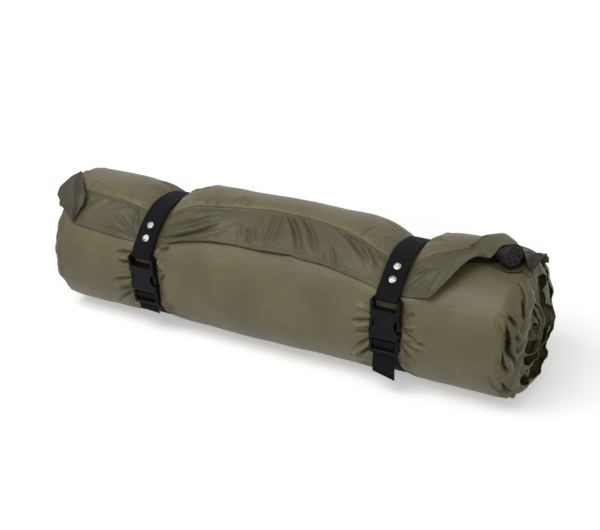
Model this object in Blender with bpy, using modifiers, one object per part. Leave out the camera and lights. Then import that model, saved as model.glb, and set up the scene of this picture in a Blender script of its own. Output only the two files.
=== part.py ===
"""A self-inflating sleeping mat, rolled up with its valve at one end and held by two buckled straps.

The roll lies along X with its floor patch on z = 0.  Round the roll, an angle of 0 points to the
front (-Y), 90 degrees points up, and the outer end of the mat comes over the top to the front.
"""

import math

import bmesh
import bpy
from mathutils import Vector
from mathutils.geometry import convex_hull_2d

MM = 0.001
DEG = math.pi / 180.0
TURN = 2.0 * math.pi

# Mat, with the roll's radius worked out from its length
MAT_LENGTH = 1830 * MM
FOAM_HALF_WIDTH = 270 * MM
FLANGE_WIDTH = 19 * MM
SHEET = 0.6 * MM
LAYER = 10.8 * MM
CORE_RADIUS = 14.3 * MM
ROLL_RADIUS = math.sqrt(CORE_RADIUS**2 + MAT_LENGTH * LAYER / math.pi) + LAYER / 2
FLOOR_PRESS = 8.6 * MM
AXIS_HEIGHT = ROLL_RADIUS - FLOOR_PRESS
PRESSED_DEPTH = 28 * MM
FIRM_RADIUS = ROLL_RADIUS - PRESSED_DEPTH
GAP = 0.3 * MM

# Loose outer end of the mat
FOAM_END = 70 * DEG
FOAM_TAPER = 11 * DEG
HEM_ANGLE = 33 * DEG
HEM_LIFT = 1.2 * MM
CROWN = 2.5 * MM
FOAM_END_GAP = 2.0 * MM

# Straps
STRAP_INSET = 123 * MM
STRAP_REACH = FOAM_HALF_WIDTH - STRAP_INSET
STRAP_X = {"left": -STRAP_REACH, "right": STRAP_REACH}
BUCKLE_ANGLE = {"left": -6 * DEG, "right": 3 * DEG}
TAIL_LENGTH = {"left": 11 * MM, "right": 26 * MM}
WEB_WIDTH = 25 * MM
WEB = 1.4 * MM
STRAP_PRESS = 12 * MM
RING_RADIUS = ROLL_RADIUS - STRAP_PRESS
RING_DROP = 1.5 * MM
BACK_DROP = (4 * MM, 120 * DEG)
STRAP_GAP = 0.5 * MM
STRAP_SPLIT = 92 * DEG
RETURN_LIFT = 3.0 * MM
OUTER_LIFT = RETURN_LIFT + WEB + GAP

# Side-release buckle: x across the strap, y along it and z away from the mat
BUCKLE_SINK = 4.5 * MM
BUCKLE_SEAT = RING_RADIUS - BUCKLE_SINK
BUCKLE_HALF_WIDTH = WEB_WIDTH / 2 + 4.5 * MM
BUCKLE_THICK = 9.6 * MM
WALL = 1.8 * MM
MOUTH_Y = -11 * MM
FEMALE_TOP = 34 * MM
BAR = 3.2 * MM
BAR_HEIGHT = 3.8 * MM
SLOT_LENGTH = 10 * MM
SLOT_HALF = WEB_WIDTH / 2 + 0.7 * MM
WINDOW_RADIUS = 9 * MM
WINDOW_CENTRE = (BUCKLE_HALF_WIDTH + 2.5 * MM, 5.5 * MM)
POCKET_TOP = 16 * MM
FRAME_BOTTOM = -30 * MM
SLIDE_FIT = 0.4 * MM
ARM_PIVOT = (BUCKLE_HALF_WIDTH - 4.2 * MM, MOUTH_Y + 2.8 * MM)
ARM_ROOT = 1.8 * MM

# The grooves that the straps press into the roll
GROOVE_FLOOR = BUCKLE_HALF_WIDTH + 1 * MM
GROOVE_REACH = 58 * MM

# Rivets
FIRST_RIVET = 24 * MM
RIVET_SPACING = 24.8 * MM
RIVET_SHANK = 2.0 * MM
RIVET_HEAD = 4.2 * MM

# Twist valve: its cap's face from the mat's end and over the axis, then sizes back along its own axis
VALVE_FACE = (FOAM_HALF_WIDTH - 11 * MM, -18 * MM)
VALVE_DIRECTION = 41.5 * DEG
CAP_RADIUS = 11.5 * MM
VALVE_SINK = 3.2 * MM
VALVE_HEIGHT = ROLL_RADIUS - LAYER + CAP_RADIUS - VALVE_SINK
CAP_LENGTH = 20 * MM
CAP_WALL = 1.6 * MM
CAP_FACE = 2.2 * MM
BORE_RADIUS = 4.5 * MM
SEAL_THICK = 2.0 * MM
RING_SECTION = 0.9 * MM
STEM_RADIUS = CAP_RADIUS - CAP_WALL - 2 * RING_SECTION - 0.7 * MM
VALVE_LENGTH = 26 * MM
VENTS = 6
VENT_CIRCLE = 6.5 * MM
VENT_RADIUS = 1.35 * MM

# The valve's flat tang between the sheets, the room for it, and the dent and lift under the valve
TANG = (14 * MM, 11 * MM, 0.9 * MM)
TANG_DROP = CAP_RADIUS - 6.5 * MM
TANG_ROOM = 3.2 * MM
VALVE_LIFT = 3.4 * MM
VALVE_DENT = 5 * MM

# Stations round the roll, with a flat facet on the floor
STATIONS = 14
STEP = TURN / STATIONS
HALF_STEP = STEP / 2
CORNER_END = 129 * DEG
FINE_TO = CORNER_END + TURN

ACROSS = (math.pi / 2, 0, -math.pi / 2)

MATERIALS = {
    "olive_nylon": ((0.115, 0.103, 0.055), 0.55, 0.0),
    "foam": ((0.62, 0.58, 0.42), 0.9, 0.0),
    "black_webbing": ((0.012, 0.012, 0.014), 0.7, 0.0),
    "black_acetal": ((0.016, 0.016, 0.019), 0.42, 0.0),
    "nickel": ((0.75, 0.74, 0.72), 0.25, 1.0),
    "valve_plastic": ((0.012, 0.014, 0.024), 0.38, 0.0),
    "orange_silicone": ((0.75, 0.2, 0.04), 0.5, 0.0),
    "black_rubber": ((0.02, 0.02, 0.02), 0.75, 0.0),
}


def clamp(value, low=0.0, high=1.0):
    return max(low, min(high, value))


def smooth(value):
    value = clamp(value)
    return value * value * (3 - 2 * value)


def bump(u, v):
    """A round swelling: 1 in its middle and 0 from one unit away."""
    return max(0.0, 1 - u * u - v * v) ** 2


def lerp_table(table, x):
    """Straight-line reading of a short list of (x, value)."""
    if x <= table[0][0]:
        return table[0][1]
    for (x0, v0), (x1, v1) in zip(table, table[1:]):
        if x <= x1:
            return v0 + (v1 - v0) * (x - x0) / (x1 - x0)
    return table[-1][1]


# Scene, collections and materials

def clear_scene():
    for obj in list(bpy.data.objects):
        bpy.data.objects.remove(obj, do_unlink=True)


def collection(name):
    made = bpy.data.collections.new(name)
    bpy.context.scene.collection.children.link(made)
    return made


def material(name):
    if name in bpy.data.materials:
        return bpy.data.materials[name]
    colour, roughness, metallic = MATERIALS[name]
    made = bpy.data.materials.new(name)
    made.use_nodes = True
    shader = made.node_tree.nodes["Principled BSDF"]
    shader.inputs["Base Color"].default_value = (*colour, 1)
    shader.inputs["Roughness"].default_value = roughness
    shader.inputs["Metallic"].default_value = metallic
    return made


class Kit:
    """The two collections that every object goes into."""

    parts = None
    cutters = None


def add(name, data, look, parent=None, location=(0, 0, 0), rotation=(0, 0, 0)):
    obj = bpy.data.objects.new(name, data)
    obj.location = location
    obj.rotation_euler = rotation
    obj.parent = parent
    data.materials.clear()
    data.materials.append(material(look))
    Kit.parts.objects.link(obj)
    return obj


def add_cutter(name, data, parent=None, location=(0, 0, 0), rotation=(0, 0, 0)):
    obj = bpy.data.objects.new(name, data)
    obj.location = location
    obj.rotation_euler = rotation
    obj.parent = parent
    obj.display_type = "WIRE"
    obj.hide_render = True
    Kit.cutters.objects.link(obj)
    return obj


def empty(name, location, rotation=(0, 0, 0), parent=None):
    obj = bpy.data.objects.new(name, None)
    obj.location = location
    obj.rotation_euler = rotation
    obj.parent = parent
    Kit.parts.objects.link(obj)
    return obj


def boolean(obj, tool, operation="DIFFERENCE"):
    modifier = obj.modifiers.new(operation.lower() + "_" + tool.name, "BOOLEAN")
    modifier.operation = operation
    modifier.object = tool
    modifier.solver = "EXACT"
    return modifier


def soften_edges(obj, width, segments=2, angle=50 * DEG):
    modifier = obj.modifiers.new("soft_edges", "BEVEL")
    modifier.width = width
    modifier.segments = segments
    modifier.limit_method = "ANGLE"
    modifier.angle_limit = angle
    return modifier


# Shapes

def arc(centre, radius, start, end, steps):
    """Points along an arc, with its angles in degrees."""
    return [
        (
            centre[0] + radius * math.cos((start + (end - start) * i / steps) * DEG),
            centre[1] + radius * math.sin((start + (end - start) * i / steps) * DEG),
        )
        for i in range(steps + 1)
    ]


def outline_curve(name, loops, thickness):
    """A flat outline, its first loop the outside and the others holes, with a thickness along z."""
    curve = bpy.data.curves.new(name, "CURVE")
    curve.dimensions = "2D"
    curve.fill_mode = "BOTH"
    curve.extrude = thickness / 2
    for loop in loops:
        spline = curve.splines.new("POLY")
        spline.points.add(len(loop) - 1)
        for point, (x, y) in zip(spline.points, loop):
            point.co = (x, y, 0, 1)
        spline.use_cyclic_u = True
    return curve


def outline_mesh(name, loops, low, high):
    """The same outline as a closed mesh between two heights."""
    obj = bpy.data.objects.new(name, outline_curve(name, loops, high - low))
    bpy.context.scene.collection.objects.link(obj)
    evaluated = obj.evaluated_get(bpy.context.evaluated_depsgraph_get())
    mesh = bpy.data.meshes.new_from_object(evaluated)
    bpy.data.objects.remove(obj, do_unlink=True)
    form = bmesh.new()
    form.from_mesh(mesh)
    bmesh.ops.remove_doubles(form, verts=form.verts, dist=1e-6)
    bmesh.ops.translate(form, verts=form.verts, vec=(0, 0, (low + high) / 2))
    bmesh.ops.dissolve_limit(form, angle_limit=0.5 * DEG, verts=form.verts, edges=form.edges)
    bmesh.ops.recalc_face_normals(form, faces=form.faces)
    form.to_mesh(mesh)
    form.free()
    return mesh


def box_mesh(name, low, high):
    form = bmesh.new()
    bmesh.ops.create_cube(form, size=1.0)
    size = [b - a for a, b in zip(low, high)]
    middle = [(a + b) / 2 for a, b in zip(low, high)]
    bmesh.ops.scale(form, verts=form.verts, vec=size)
    bmesh.ops.translate(form, verts=form.verts, vec=middle)
    mesh = bpy.data.meshes.new(name)
    form.to_mesh(mesh)
    form.free()
    return mesh


def turned_mesh(name, profile, segments):
    """A (radius, height) profile turned about z: a ring, or a solid where it starts and ends on the axis."""
    form = bmesh.new()
    solid = profile[0][0] < 1e-9
    rings = []
    for radius, height in profile[1:-1] if solid else profile:
        ring = []
        for i in range(segments):
            angle = TURN * i / segments
            ring.append(form.verts.new((radius * math.cos(angle), radius * math.sin(angle), height)))
        rings.append(ring)
    for ring, after in zip(rings, rings[1:] if solid else rings[1:] + rings[:1]):
        for i in range(segments):
            j = (i + 1) % segments
            form.faces.new((ring[i], ring[j], after[j], after[i]))
    if solid:
        form.faces.new(rings[0])
        form.faces.new(rings[-1])
    bmesh.ops.recalc_face_normals(form, faces=form.faces)
    mesh = bpy.data.meshes.new(name)
    form.to_mesh(mesh)
    form.free()
    mesh.shade_smooth()
    mesh.set_sharp_from_angle(angle=40 * DEG)
    return mesh


# Strap rings, worked out in the plane across the roll with p forward and q up from the axis

def buckle_point(side, y, z):
    """A point of the buckle's own y and z, in the plane across the roll."""
    angle = BUCKLE_ANGLE[side]
    out = BUCKLE_SEAT + z
    return (out * math.cos(angle) - y * math.sin(angle), out * math.sin(angle) + y * math.cos(angle))


def ring_polygon(side):
    """The strap's inner line: a taut loop over the mat and the buckle's flat back."""
    ends = [Vector(buckle_point(side, y, 0)) for y in (FRAME_BOTTOM, FEMALE_TOP)]
    low, high = (math.atan2(end.y, end.x) for end in ends)
    points = [
        Vector((math.cos(a), math.sin(a)))
        * (RING_RADIUS - RING_DROP * math.sin(a) - BACK_DROP[0] * max(0, math.cos(a - BACK_DROP[1])) ** 2)
        for a in (HALF_STEP * i - TURN / 4 for i in range(2 * STATIONS))
        if not low < a < high
    ]
    points += ends
    return [points[i] for i in convex_hull_2d(points)]


RINGS = {side: ring_polygon(side) for side in STRAP_X}


def ring_radius(side, angle):
    """How far the strap's inner line is from the roll's axis at an angle."""
    ray = Vector((math.cos(angle), math.sin(angle)))
    polygon = RINGS[side]
    for a, b in zip(polygon, polygon[1:] + polygon[:1]):
        edge = b - a
        cross = ray.x * edge.y - ray.y * edge.x
        if abs(cross) < 1e-12:
            continue
        distance = (a.x * edge.y - a.y * edge.x) / cross
        along = (a.x * ray.y - a.y * ray.x) / cross
        if distance > 0 and -1e-9 <= along <= 1 + 1e-9:
            return distance
    return RING_RADIUS


def ring_point(side, angle, lift):
    """A point outside the strap's inner line by the lift."""
    radius = ring_radius(side, angle) + lift
    return (radius * math.cos(angle), radius * math.sin(angle))


# The rolled mat

# The cut corner at the valve: its angle round the roll at places in from the foam's end
CUT_CORNER = [(85 * MM, 46 * DEG), (65 * MM, 64 * DEG), (50 * MM, 77 * DEG), (34 * MM, 91 * DEG), (0, 120 * DEG)]

GROOVE_LINES = sorted(
    side * (STRAP_REACH + offset)
    for side in (-1, 1)
    for offset in (-GROOVE_REACH, -GROOVE_FLOOR, GROOVE_FLOOR, GROOVE_REACH)
)

# Where the hem's edge lies round the roll, from the left flange to the valve corner
HEM_EDGE = [
    (-FOAM_HALF_WIDTH - FLANGE_WIDTH, HEM_ANGLE + 14 * DEG),
    (-FOAM_HALF_WIDTH, HEM_ANGLE + 10 * DEG),
    (-STRAP_REACH - GROOVE_REACH, HEM_ANGLE),
    (-STRAP_REACH - GROOVE_FLOOR, HEM_ANGLE - 3 * DEG),
    (-STRAP_REACH + GROOVE_FLOOR, HEM_ANGLE - 3 * DEG),
    (-STRAP_REACH + GROOVE_REACH, HEM_ANGLE + 4 * DEG),
    (0, HEM_ANGLE + 6 * DEG),
    (STRAP_REACH - GROOVE_REACH, HEM_ANGLE + 3 * DEG),
    (STRAP_REACH - GROOVE_FLOOR, HEM_ANGLE - 3 * DEG),
    (STRAP_REACH + GROOVE_FLOOR, HEM_ANGLE - 3 * DEG),
]
HEM_EDGE += [(FOAM_HALF_WIDTH - inset, angle) for inset, angle in CUT_CORNER]
HEM_EDGE += [(FOAM_HALF_WIDTH + FLANGE_WIDTH, CUT_CORNER[-1][1] + 8 * DEG)]

# How far the foam ends behind that edge, along the cut corner
HEM_WIDTH = [
    (STRAP_REACH + GROOVE_FLOOR, FOAM_END - HEM_ANGLE + 3 * DEG),
    (FOAM_HALF_WIDTH - CUT_CORNER[1][0], 24 * DEG),
    (FOAM_HALF_WIDTH - CUT_CORNER[3][0], 19 * DEG),
    (FOAM_HALF_WIDTH, 17 * DEG),
]


def hem_edge(x):
    return lerp_table(HEM_EDGE, x)


def foam_edge(x):
    if x < STRAP_REACH + GROOVE_FLOOR:
        return FOAM_END
    return hem_edge(x) + lerp_table(HEM_WIDTH, x)


def roll_radius(phi):
    """The roll's spiral: its radius falls by one layer a turn from the foam's outer end."""
    return ROLL_RADIUS - LAYER * max(0.0, phi - FOAM_END) / TURN


def last_angle():
    """Where the mat's inner end lies, from its length along the middle of its thickness."""
    middle = ROLL_RADIUS - LAYER / 2
    inside = middle * middle - MAT_LENGTH * LAYER / math.pi
    end = FOAM_END + (middle - math.sqrt(max(inside, (12 * MM) ** 2))) * TURN / LAYER
    return (round((end + TURN / 4) / STEP - 0.5) + 0.5) * STEP - TURN / 4


def near_valve(phi, x, inset, angle, reach, spread):
    """1 at a place by the valve, fading to 0 round it."""
    return bump((x - FOAM_HALF_WIDTH + inset) / reach, (phi - angle) / spread)


def hem_lift(phi, x):
    """The loose hem stands off the turn below, and further off where the valve lifts it."""
    edge = clamp(1 - (phi - hem_edge(x)) / (22 * DEG))
    return HEM_LIFT * edge + VALVE_LIFT * near_valve(phi, x, 32 * MM, 92 * DEG, 48 * MM, 42 * DEG)


def foam_share(phi, x):
    """1 where the foam is between the sheets, 0 on the flat hem."""
    return smooth((phi + FOAM_TAPER / 2 - foam_edge(x)) / FOAM_TAPER + 1)


def tang_room(phi, x):
    """The extra room between the sheets round the valve's flat tang."""
    return TANG_ROOM * clamp(2.2 * near_valve(phi, x, 36 * MM, 95 * DEG, 52 * MM, 48 * DEG))


END_CROWN = FOAM_HALF_WIDTH - 33 * MM
OUTSIDE_LINES = [-END_CROWN, 0, FOAM_HALF_WIDTH - CUT_CORNER[3][0]]
CORNER_LINES = [FOAM_HALF_WIDTH - inset for inset in (CUT_CORNER[0][0], CUT_CORNER[2][0], CUT_CORNER[3][0] / 2)]


def crown(phi, x):
    """The outermost turn swells between its straps and its ends, and less where the hem covers it."""
    middle = clamp(1 - abs(x) / (STRAP_REACH - GROOVE_REACH))
    ends = clamp(1 - abs(abs(x) - END_CROWN) / (32 * MM))
    covered = clamp(1 - (phi - TURN - hem_edge(x)) / (38 * DEG))
    return CROWN * max(middle, 0.6 * ends) * covered


def free_radius(phi, x):
    """The outside of the roll before anything presses on it."""
    below = roll_radius(phi + TURN) + crown(phi + TURN, x)
    if phi < hem_edge(x) - 1e-6:
        return below
    flat = below + hem_lift(phi, x) + 2 * SHEET + 2 * GAP + tang_room(phi, x)
    return flat + (roll_radius(phi) + crown(phi, x) - flat) * foam_share(phi, x)


def press_depth(angle, x):
    """How deep the straps, the floor and the valve press the roll in at an angle."""
    lowest = min(edge for _, edge in HEM_EDGE)
    phi = lowest + (angle - lowest) % TURN
    outside = free_radius(phi, x)
    depth = VALVE_DENT * near_valve(phi, x, 20 * MM, 86 * DEG, 52 * MM, 44 * DEG)
    by_hem = phi < hem_edge(x) or phi > TURN + hem_edge(x) - HALF_STEP
    hem = 2 * SHEET + 3 * GAP + HEM_LIFT if by_hem else 0.0
    for side, strap_x in STRAP_X.items():
        share = clamp(1 - (abs(x - strap_x) - GROOVE_FLOOR) / (GROOVE_REACH - GROOVE_FLOOR))
        depth = max(depth, share * (outside + hem - ring_radius(side, angle) + STRAP_GAP))
    down = -math.sin(angle)
    if down > 0.9:
        depth = max(depth, outside - AXIS_HEIGHT / down - GAP / 2)
    return outside, depth


def pressed(radius, angle, x):
    """A radius inside the free roll, moved to where it lies once the roll is pressed in."""
    outside, depth = press_depth(angle, x)
    share = clamp((radius - FIRM_RADIUS) / (outside - FIRM_RADIUS))
    return radius - share * depth


def inner_face(phi, x):
    """The inside of the mat at an unrolled angle."""
    below = roll_radius(phi + TURN) + crown(phi + TURN, x)
    return pressed(below + hem_lift(phi, x), phi, x) + GAP / 2


def outer_face(phi, x):
    """The outside of the mat at an unrolled angle."""
    flat = inner_face(phi, x) + 2 * SHEET + GAP + tang_room(phi, x)
    full = pressed(roll_radius(phi) + crown(phi, x), phi, x) - GAP / 2
    return flat + (full - flat) * foam_share(phi, x)


def columns(interface):
    """Places along the roll: more on the outside and at the cut corner, and none deep inside."""
    under_hem = TURN + 25 * DEG < interface <= FINE_TO
    if interface < CORNER_END or under_hem:
        return sorted(GROOVE_LINES + OUTSIDE_LINES + CORNER_LINES)
    if interface <= FINE_TO:
        return sorted(GROOVE_LINES + OUTSIDE_LINES)
    if roll_radius(interface) > FIRM_RADIUS:
        return GROOVE_LINES
    return []


def row_angles(first, last, turns_below):
    """Stations round the roll from first to last, fine where the face lies on the roll's outside."""
    angles = [first]
    index = math.ceil((first + TURN / 4) / HALF_STEP)
    while True:
        phi = index * HALF_STEP - TURN / 4
        fine = phi + turns_below * TURN <= FINE_TO
        if phi >= last - 0.15 * STEP:
            break
        if phi > first + 1e-6 and (fine or index % 2 == 1):
            angles.append(phi)
        index += 1
    return angles + [last]


def mat_surface(form, radius_at, edge, half_width, turns_below, flange_radius=None):
    """One face of the mat from its outer edge to its inner end, as rows of (x, angle, vertex)."""
    last = last_angle()
    rows = []
    lowest = min(edge(x) for x in columns(0))
    for row, phi in enumerate(row_angles(lowest, last, turns_below)):
        places = [-half_width] + columns(phi + turns_below * TURN) + [half_width]
        if flange_radius:
            outermost = half_width + FLANGE_WIDTH
            places = [-outermost] + places + [outermost]
        line = []
        for x in places:
            angle = max(phi, edge(x))
            before = next((v for px, pa, v in rows[-1] if abs(px - x) < 1e-9), None) if rows else None
            if row and before is not None and phi < edge(x) + 3 * DEG:
                line.append((x, angle, before))
                continue
            if abs(x) > half_width + 1e-6:
                radius = flange_radius(angle, math.copysign(half_width, x))
            else:
                radius = radius_at(angle, x)
            line.append((x, angle, form.verts.new((x, -radius * math.cos(angle), radius * math.sin(angle)))))
        rows.append(line)
    for lower, upper in zip(rows, rows[1:]):
        bridge(form, [(x, v) for x, _, v in lower], [(x, v) for x, _, v in upper])
    return rows


def bridge(form, lower, upper):
    """Triangles between two rows of (place, vertex), which may differ in their number of places.

    Every cell is split the same way, so that faces which lie on each other bend alike.
    """
    i = j = 0
    while i < len(lower) - 1 or j < len(upper) - 1:
        next_lower = lower[i + 1][0] if i < len(lower) - 1 else math.inf
        next_upper = upper[j + 1][0] if j < len(upper) - 1 else math.inf
        corners = [lower[i][1]]
        if next_lower <= next_upper + 1e-9:
            i += 1
            corners.append(lower[i][1])
        before = upper[j][1]
        if next_upper <= next_lower + 1e-9:
            j += 1
            corners.append(upper[j][1])
        corners.append(before)
        for triangle in (corners[:3], corners[:1] + corners[2:]):
            if len(set(triangle)) == 3 and not form.faces.get(triangle):
                form.faces.new(triangle)


def finish_mesh(form, name):
    bmesh.ops.recalc_face_normals(form, faces=form.faces)
    mesh = bpy.data.meshes.new(name)
    form.to_mesh(mesh)
    form.free()
    mesh.shade_smooth()
    mesh.set_sharp_from_angle(angle=35 * DEG)
    return mesh


def flange_middle(phi, x):
    """Where the two sheets meet beyond the foam's end."""
    return (inner_face(phi, x) + outer_face(phi, x)) / 2


def make_sheet(name, radius_at, flange_radius, outward, turns_below):
    """One coated sheet as a single surface, given its thickness by Solidify."""
    form = bmesh.new()
    mat_surface(form, radius_at, hem_edge, FOAM_HALF_WIDTH, turns_below, flange_radius)
    form.faces.ensure_lookup_table()
    bmesh.ops.recalc_face_normals(form, faces=form.faces)
    sample = form.faces[0]
    away = Vector((0, sample.calc_center_median().y, sample.calc_center_median().z))
    if (sample.normal.dot(away) > 0) != outward:
        bmesh.ops.reverse_faces(form, faces=form.faces)
    mesh = bpy.data.meshes.new(name)
    form.to_mesh(mesh)
    form.free()
    sheet = add(name, mesh, "olive_nylon", location=(0, 0, AXIS_HEIGHT))
    thick = sheet.modifiers.new("thickness", "SOLIDIFY")
    thick.thickness = SHEET
    thick.offset = -1
    thick.use_even_offset = False
    return sheet


def make_foam():
    """The open-cell slab, rolled up between the two sheets."""
    clear = SHEET + GAP

    def at_edge(face, phi, x):
        """The face between its two nearest stations, as its triangles run there."""
        low = (math.ceil((phi + TURN / 4) / HALF_STEP) - 1) * HALF_STEP - TURN / 4
        low = max(low, hem_edge(x))
        high = (math.floor((phi + TURN / 4) / HALF_STEP) + 1) * HALF_STEP - TURN / 4
        share = (phi - low) / (high - low)
        return face(low, x) + (face(high, x) - face(low, x)) * share

    def outside(phi, x):
        if abs(phi - foam_edge(x)) > 1e-9:
            return outer_face(phi, x) - clear
        return at_edge(outer_face, phi, x) - clear - FOAM_END_GAP

    def inside(phi, x):
        if abs(phi - foam_edge(x)) > 1e-9:
            return inner_face(phi, x) + clear
        return at_edge(inner_face, phi, x) + clear + FOAM_END_GAP

    form = bmesh.new()
    half = FOAM_HALF_WIDTH - GAP
    outer = mat_surface(form, outside, foam_edge, half, 0)
    inner = mat_surface(form, inside, foam_edge, half, 1)
    for end in (0, -1):
        bridge(
            form,
            [(row[end][1], row[end][2]) for row in outer],
            [(row[end][1], row[end][2]) for row in inner],
        )
        bridge(form, [(x, v) for x, _, v in outer[end]], [(x, v) for x, _, v in inner[end]])
    add("foam_core", finish_mesh(form, "foam_core"), "foam", location=(0, 0, AXIS_HEIGHT))


def make_mat():
    make_sheet(
        "shell_outer_sheet",
        outer_face,
        lambda phi, x: flange_middle(phi, x) + GAP / 2 + SHEET,
        True,
        0,
    )
    make_sheet(
        "shell_inner_sheet",
        inner_face,
        lambda phi, x: flange_middle(phi, x) - GAP / 2 - SHEET,
        False,
        1,
    )
    make_foam()


# Straps

def webbing(name, path, parent=None):
    """Flat webbing along a path across the roll, as its edge-on outline with the webbing's width."""
    sides = ([], [])
    for i, point in enumerate(path):
        here = Vector(point)
        before = Vector(path[max(i - 1, 0)])
        after = Vector(path[min(i + 1, len(path) - 1)])
        into = (here - before).normalized() if i else (after - here).normalized()
        out_of = (after - here).normalized() if i < len(path) - 1 else into
        along = (into + out_of).normalized()
        normal = Vector((-along.y, along.x))
        reach = WEB / 2 / max(0.5, along.dot(into))
        sides[0].append(tuple(here + normal * reach))
        sides[1].append(tuple(here - normal * reach))
    loop = sides[0] + sides[1][::-1]
    return outline_mesh(name, [loop], -WEB_WIDTH / 2, WEB_WIDTH / 2)


def stations(low, high):
    """The roll's fine stations between two angles, where the mat and the straps bend together."""
    return [HALF_STEP * i for i in range(math.ceil(low / HALF_STEP), math.floor(high / HALF_STEP) + 1)]


def doubled_angle(side, distance):
    """The angle round the roll of a point this far along the strap above the female's bar."""
    y = FEMALE_TOP - BAR / 2 + distance
    return BUCKLE_ANGLE[side] + math.atan2(y, BUCKLE_SEAT + 3 * MM) * (1 + 0.02 * y / FEMALE_TOP)


def tab_stations():
    """Distances above the bar of the bends of the doubled webbing, with the rivets half way between."""
    return [FIRST_RIVET + (i - 0.5) * RIVET_SPACING for i in range(3)]


def tab_path(side):
    """From the top of the roll down to the female's bar, round it, and back up underneath."""
    bends = [doubled_angle(side, d) for d in tab_stations()]
    path = []
    for angle in [STRAP_SPLIT] + stations(bends[-1] + 5 * DEG, STRAP_SPLIT - 1 * DEG)[::-1]:
        share = smooth((STRAP_SPLIT - angle) / (STRAP_SPLIT - bends[-1] - 5 * DEG))
        path.append(ring_point(side, angle, WEB / 2 + (OUTER_LIFT - WEB / 2) * share))
    path += [ring_point(side, bend, OUTER_LIFT) for bend in reversed(bends)]
    bar = (FEMALE_TOP - BAR / 2, BAR_HEIGHT)
    wrap = BAR / math.sqrt(2) + GAP + WEB / 2
    path += [buckle_point(side, y, z) for y, z in arc(bar, wrap, 45, 285, 8)]
    path += [ring_point(side, bend, RETURN_LIFT) for bend in bends]
    return path


def band_path(side):
    """From the top of the roll round the back and underneath to the male's bars, and out as a tail."""
    low = BUCKLE_ANGLE[side] + math.atan2(FRAME_BOTTOM, BUCKLE_SEAT)
    path = [ring_point(side, STRAP_SPLIT + GAP / RING_RADIUS, WEB / 2)]
    path += [ring_point(side, a, WEB / 2) for a in stations(STRAP_SPLIT + 4 * DEG, TURN + low - 4 * DEG)]
    path += [
        buckle_point(side, y * MM, z * MM)
        for y, z in [(-30, 1.0), (-16.3, 1.0), (-14.6, 2.4), (-14.0, 4.3), (-15.4, 6.1), (-20.2, 6.2), (-25, 3.1)]
    ]
    tail = TAIL_LENGTH[side]
    path.append(buckle_point(side, -31 * MM, 3.1 * MM))
    path.append(buckle_point(side, -31 * MM - tail * 0.5, 3.4 * MM))
    path.append(buckle_point(side, -31 * MM - tail, 1.5 * MM))
    return path


def make_rivet(side, name, distance, tab):
    """A capped rivet through both layers of webbing, with its washer behind."""
    bends = tab_stations()
    low = doubled_angle(side, max(d for d in bends if d < distance))
    high = doubled_angle(side, min(d for d in bends if d > distance))
    a = Vector(ring_point(side, low, RETURN_LIFT))
    b = Vector(ring_point(side, high, RETURN_LIFT))
    middle = (a + b) / 2
    across = Vector((b.y - a.y, -(b.x - a.x))).normalized()
    if across.dot(middle) < 0:
        across = -across
    frame = empty(
        f"{side}_{name}_axis",
        (STRAP_X[side], -middle.x, AXIS_HEIGHT + middle.y),
        (math.pi / 2 - math.atan2(across.y, across.x), 0, 0),
    )
    top = 1.5 * WEB + GAP + 0.2 * MM
    back = -WEB / 2 - 0.3 * MM
    head = [
        (0, back - 1.3 * MM),
        (RIVET_SHANK + 0.7 * MM, back - 1.3 * MM),
        (RIVET_SHANK + 0.7 * MM, back - 0.9 * MM),
        (RIVET_SHANK, back - 0.8 * MM),
        (RIVET_SHANK, top),
        (RIVET_HEAD - 0.3 * MM, top),
        (RIVET_HEAD, top + 0.3 * MM),
        (RIVET_HEAD - 0.5 * MM, top + 0.8 * MM),
        (RIVET_HEAD - 1.7 * MM, top + 1.15 * MM),
        (RIVET_HEAD - 2.2 * MM, top + 0.75 * MM),
        (0, top + 0.75 * MM),
    ]
    add(f"{side}_{name}", turned_mesh(name, head, 16), "nickel", frame)
    washer = [
        (RIVET_SHANK + GAP, back - 0.6 * MM),
        (RIVET_HEAD - 0.2 * MM, back - 0.6 * MM),
        (RIVET_HEAD - 0.2 * MM, back),
        (RIVET_SHANK + GAP, back),
    ]
    add(f"{side}_{name}_washer", turned_mesh(name + "_washer", washer, 16), "nickel", frame)
    hole = [(0, -4 * MM), (RIVET_SHANK + GAP, -4 * MM), (RIVET_SHANK + GAP, 5 * MM), (0, 5 * MM)]
    boolean(tab, add_cutter(f"{side}_{name}_hole", turned_mesh("rivet_hole", hole, 16), frame))


def make_strap(side):
    place = (STRAP_X[side], 0, AXIS_HEIGHT)
    add(f"{side}_strap_band", webbing("band", band_path(side)), "black_webbing", None, place, ACROSS)
    tab = add(f"{side}_strap_tab", webbing("tab", tab_path(side)), "black_webbing", None, place, ACROSS)
    make_rivet(side, "rivet_lower", FIRST_RIVET, tab)
    make_rivet(side, "rivet_upper", FIRST_RIVET + RIVET_SPACING, tab)


# Buckles

def mirrored(points):
    """A right half outline, bottom to top, closed by its mirror image."""
    return points + [(-x, y) for x, y in reversed(points)]


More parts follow.
